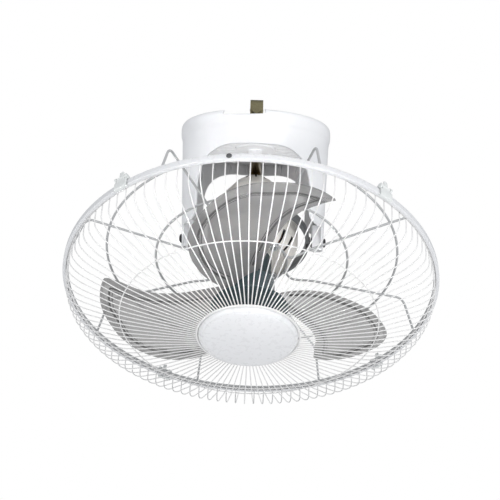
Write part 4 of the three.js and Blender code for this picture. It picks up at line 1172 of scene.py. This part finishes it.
class FAN_OT_front_guard(bpy.types.Operator):
    """Front guard's dish of fine radial wires"""

    bl_idname = "fan.front_guard"
    bl_label = "Front guard"

    def execute(self, context):
        sizes = bpy.context.scene.fan_cage
        wire, ring = sizes.front_wire / MM, sizes.ring_wire / MM
        form = Form().hoop(GUARD_RING_R, -85.55, ring, 12, 240)
        form.hoop(158.4, -138.8 + wire + 0.6, 0.75, 10, 200)
        form.hoop(62.9, -153.8, 1.35, 12, 120)
        curve = smooth_curve([(rho, 0, -forward) for rho, forward in FRONT_PROFILE], 4)
        for k in range(sizes.front_wires):
            form.tube(round_about(curve, FIRST_WIRE_DEGREES + 360 * k / sizes.front_wires), wire, 8)
        fitted(form.piece("front_cage", TO_HEAD, ["wire"], 60), "head", "guard_wire", "front_guard")
        return {"FINISHED"}


class FAN_OT_band(bpy.types.Operator):
    """Band that joins the two guards, its screw and its clips"""

    bl_idname = "fan.band"
    bl_label = "Rim band and clips"

    def execute(self, context):
        outline = [(BAND_INSIDE, -79.75, 0.3), (BAND_OUTSIDE, -79.75, 1.1), (BAND_OUTSIDE, -88.25, 1.1)]
        outline += [(BAND_INSIDE, -88.25, 0.3), (BAND_INSIDE, -87.15, 0.2), (233, -87.15, 0.4)]
        outline += [(233, -80.85, 0.4), (BAND_INSIDE, -80.85, 0.2)]
        band = Form().lathe(rounded(outline, 4), 288)
        fitted(band.piece("guard_band", TO_HEAD, ["band"]), "head", "guard_plastic", "rim_band")
        lay = TO_HEAD @ Matrix.Translation((0, 0, -84)) @ turned(-96) @ turned(90, "Y")
        screw = Form().screw_head(3.2, 1.9, BAND_OUTSIDE + 0.25, 1.6, 231.9)
        fitted(screw.piece("band_screw", lay, ["dark_plate"]), "head", "bright_steel", "rim_screw")
        for i, degrees in enumerate(CLIP_DEGREES, 1):
            self.clip(i, TO_HEAD @ turned(degrees))
        return {"FINISHED"}

    def clip(self, number, turn):
        saddle = Form().block((231, -9, -79.35), (234.6, 9, -77.4), 0.4)
        side = [(231, -79.35, 0.4), (231, -75.8, 1), (235.2, -73.45, 1.6)]
        side = rounded([*side, (238.9, -73.5, 1.6), (239, -77, 1.5), (235.6, -79.35, 0.6)], 4)
        saddle.across(side, -9, -6.1).across(side, 6.1, 9)
        made = saddle.piece(f"clip_seat_{number}", turn, ["clip"])
        fitted(made, "head", "guard_plastic", f"clip_saddle_{number}")
        hook = [(233.1, -88.75, 0.3), (233.1, -90.45, 0.5), (237.7, -90.45, 1.2), (237.75, -80.1, 0.6)]
        hook += [(236.25, -80.1, 0.4), (236.25, -88.75, 0.4)]
        knuckle = [(236.2, -80.4, 0.2), (237.75, -80.4, 0.2), (237.75, -76.9, 0.6), (238.75, -75.6, 0.8)]
        knuckle += [(237.75, -74, 0.6), (235.85, -73.8, 0.6), (234.9, -75.6, 0.8), (236.2, -77.7, 0.6)]
        lever = Form().across(rounded(hook, 3), -8.8, 8.8).across(rounded(knuckle, 3), -5.6, 5.6)
        lever.block((235.9, -2.6, -74.6), (237.7, 2.6, -66.7), 0.5)
        lever.pin(0.98, -8.5, 8.5, 0.15, 20, matrix=Matrix.Translation((236.8, 0, -75.6)) @ turned(90, "X"))
        made = lever.piece(f"clip_lever_shape_{number}", turn, ["clip"])
        fitted(made, f"clip_{number}", "guard_plastic", f"clip_lever_{number}")


class FAN_OT_disc(bpy.types.Operator):
    """Plain white disc over the middle of the front guard"""

    bl_idname = "fan.disc"
    bl_label = "Centre disc"

    def execute(self, context):
        dish = ((0, -0.4), (20, -0.25), (38, 0.35), (50, 1.5), (55.2, 2.7))
        front = smooth_curve([(radius, 0, DISC_FACE + rise) for radius, rise in dish], 6)
        rim = ((55.6, 3.3), (56.1, 3.35), (56.7, 3.1), (58.2, 4), (60, 5.6), (60.8, 7.2), (60.95, 9.3))
        back = ((60.4, 9.45), (58.7, 9.4), (56.6, 6.4), (48, 4), (0, 2))
        outline = [(p.x, p.z) for p in front] + [(radius, DISC_FACE + rise) for radius, rise in rim + back]
        made = Form().lathe(outline, 160).piece("plain_disc", TO_HEAD, ["band"], 50)
        fitted(made, "head", "guard_plastic", "centre_disc")
        return {"FINISHED"}


# ---- Stage -----------------------------------------------------------------------------------
FLOOR_HALF, FLOOR_Z = 6000, -900


def stage_material():
    """Pale floor, plain white to the camera, to reflections and through clear plastic."""
    finish = Finish("stage_pale")
    seen = finish.seen_plainly(CAMERA_RAY, GLOSSY_RAY, TRANSMISSION_RAY)
    pale = finish.blend(finish.noise(3, 3), (0.93, 0.93, 0.93), (0.9, 0.9, 0.9))
    lit = finish.node("ShaderNodeBsdfDiffuse", {}, {"Color": pale})
    plain = finish.node("ShaderNodeEmission", {}, {"Color": (1, 1, 1, 1), "Strength": 1.0})
    finish.end(finish.node("ShaderNodeMixShader", {}, {0: seen, 1: lit, 2: plain}))
    return finish.material


def add_lamp(name, place, aim, energy, size, spread=math.pi):
    lamp = bpy.data.lights.new(name, "AREA")
    lamp.energy = energy
    lamp.size = size
    lamp.spread = spread
    made = bpy.data.objects.new(name, lamp)
    made.location = place
    made.rotation_mode = "QUATERNION"
    made.rotation_quaternion = (Vector(aim) - Vector(place)).to_track_quat("-Z", "Y")
    bpy.context.scene.collection.objects.link(made)


def add_camera():
    """The camera, at the photograph's viewing angle."""
    data = bpy.data.cameras.new("camera")
    data.sensor_width = 36
    data.lens = 65.26
    camera = bpy.data.objects.new("camera", data)
    yaw, pitch, roll = (math.radians(v) for v in (0.9, 7.33, -1.95))
    facing = Matrix.Rotation(yaw, 3, "Z") @ Matrix.Rotation(pitch, 3, "X") @ Matrix.Rotation(roll, 3, "Y")
    right, ahead, up = facing.col
    basis = Matrix((right, up, -ahead)).transposed()
    camera.rotation_mode = "QUATERNION"
    camera.rotation_quaternion = basis.to_quaternion()
    camera.location = (0.01598, -1.18826, -0.35314)
    bpy.context.scene.collection.objects.link(camera)
    bpy.context.scene.camera = camera


class FAN_OT_stage(bpy.types.Operator):
    """Pale floor, soft lamps, world and camera"""

    bl_idname = "fan.stage"
    bl_label = "Stage"

    def execute(self, context):
        corners = [(FLOOR_HALF * x, FLOOR_HALF * y, FLOOR_Z) for x, y in ((-1, -1), (1, -1), (1, 1), (-1, 1))]
        mesh = Form().add(corners, [(0, 1, 2, 3)]).mesh("floor", Matrix.Identity(4))
        mesh.materials.append(stage_material())
        made = bpy.data.objects.new("floor", mesh)
        context.scene.collection.objects.link(made)
        world = bpy.data.worlds.new("studio")
        context.scene.world = world
        studio = Finish("studio", world)
        seen = studio.seen_plainly(CAMERA_RAY, TRANSMISSION_RAY)
        soft = studio.node("ShaderNodeBackground", {}, {"Color": (0.95, 0.97, 1, 1), "Strength": 0.58})
        plain = studio.node("ShaderNodeBackground", {}, {"Color": (1, 1, 1, 1)})
        shader = studio.node("ShaderNodeMixShader", {}, {0: seen, 1: soft, 2: plain})
        studio.end(shader, "ShaderNodeOutputWorld")
        add_lamp("key", (0.7, -1.6, 0.35), (0, 0, -0.2), 12.5, 1.2)
        add_lamp("fill", (-1.3, -1.1, 0.1), (0, 0, -0.2), 4.2, 1.4)
        add_lamp("below", (0.2, -1.1, -0.85), (0, 0, -0.15), 7, 1.0)
        add_lamp("arch", (-0.02, -1.0, -0.72), (0.0, 0, -0.09), 0.06, 0.15, math.radians(14))
        add_camera()
        context.scene.view_settings.view_transform = "Standard"
        return {"FINISHED"}


OPERATORS = (
    FAN_OT_canopy,
    FAN_OT_hanger,
    FAN_OT_leg_pivots,
    FAN_OT_crank,
    FAN_OT_motor,
    FAN_OT_dome,
    FAN_OT_gimbal,
    FAN_OT_blades,
    FAN_OT_rear_guard,
    FAN_OT_front_guard,
    FAN_OT_band,
    FAN_OT_disc,
    FAN_OT_stage,
)


class FAN_PT_pieces(bpy.types.Panel):
    """Lists the fan's pieces, sizes and colours"""

    bl_idname = "FAN_PT_pieces"
    bl_label = "Orbital ceiling fan"
    bl_space_type = "VIEW_3D"
    bl_region_type = "UI"
    bl_category = "Fan"

    def draw(self, context):
        for operator in OPERATORS:
            self.layout.operator(operator.bl_idname)
        for key, group in GROUPS.items():
            box = self.layout.box()
            for name in group.__annotations__:
                box.prop(getattr(context.scene, key), name)


def register():
    for key, group in GROUPS.items():
        bpy.utils.register_class(group)
        setattr(bpy.types.Scene, key, PointerProperty(type=group))
    for made in (*OPERATORS, FAN_PT_pieces):
        bpy.utils.register_class(made)


def unregister():
    for made in (FAN_PT_pieces, *reversed(OPERATORS)):
        bpy.utils.unregister_class(made)
    for key, group in GROUPS.items():
        delattr(bpy.types.Scene, key)
        bpy.utils.unregister_class(group)


def main():
    register()
    for operator in OPERATORS:
        group, name = operator.bl_idname.split(".")
        getattr(getattr(bpy.ops, group), name)()


if __name__ == "__main__":
    main()
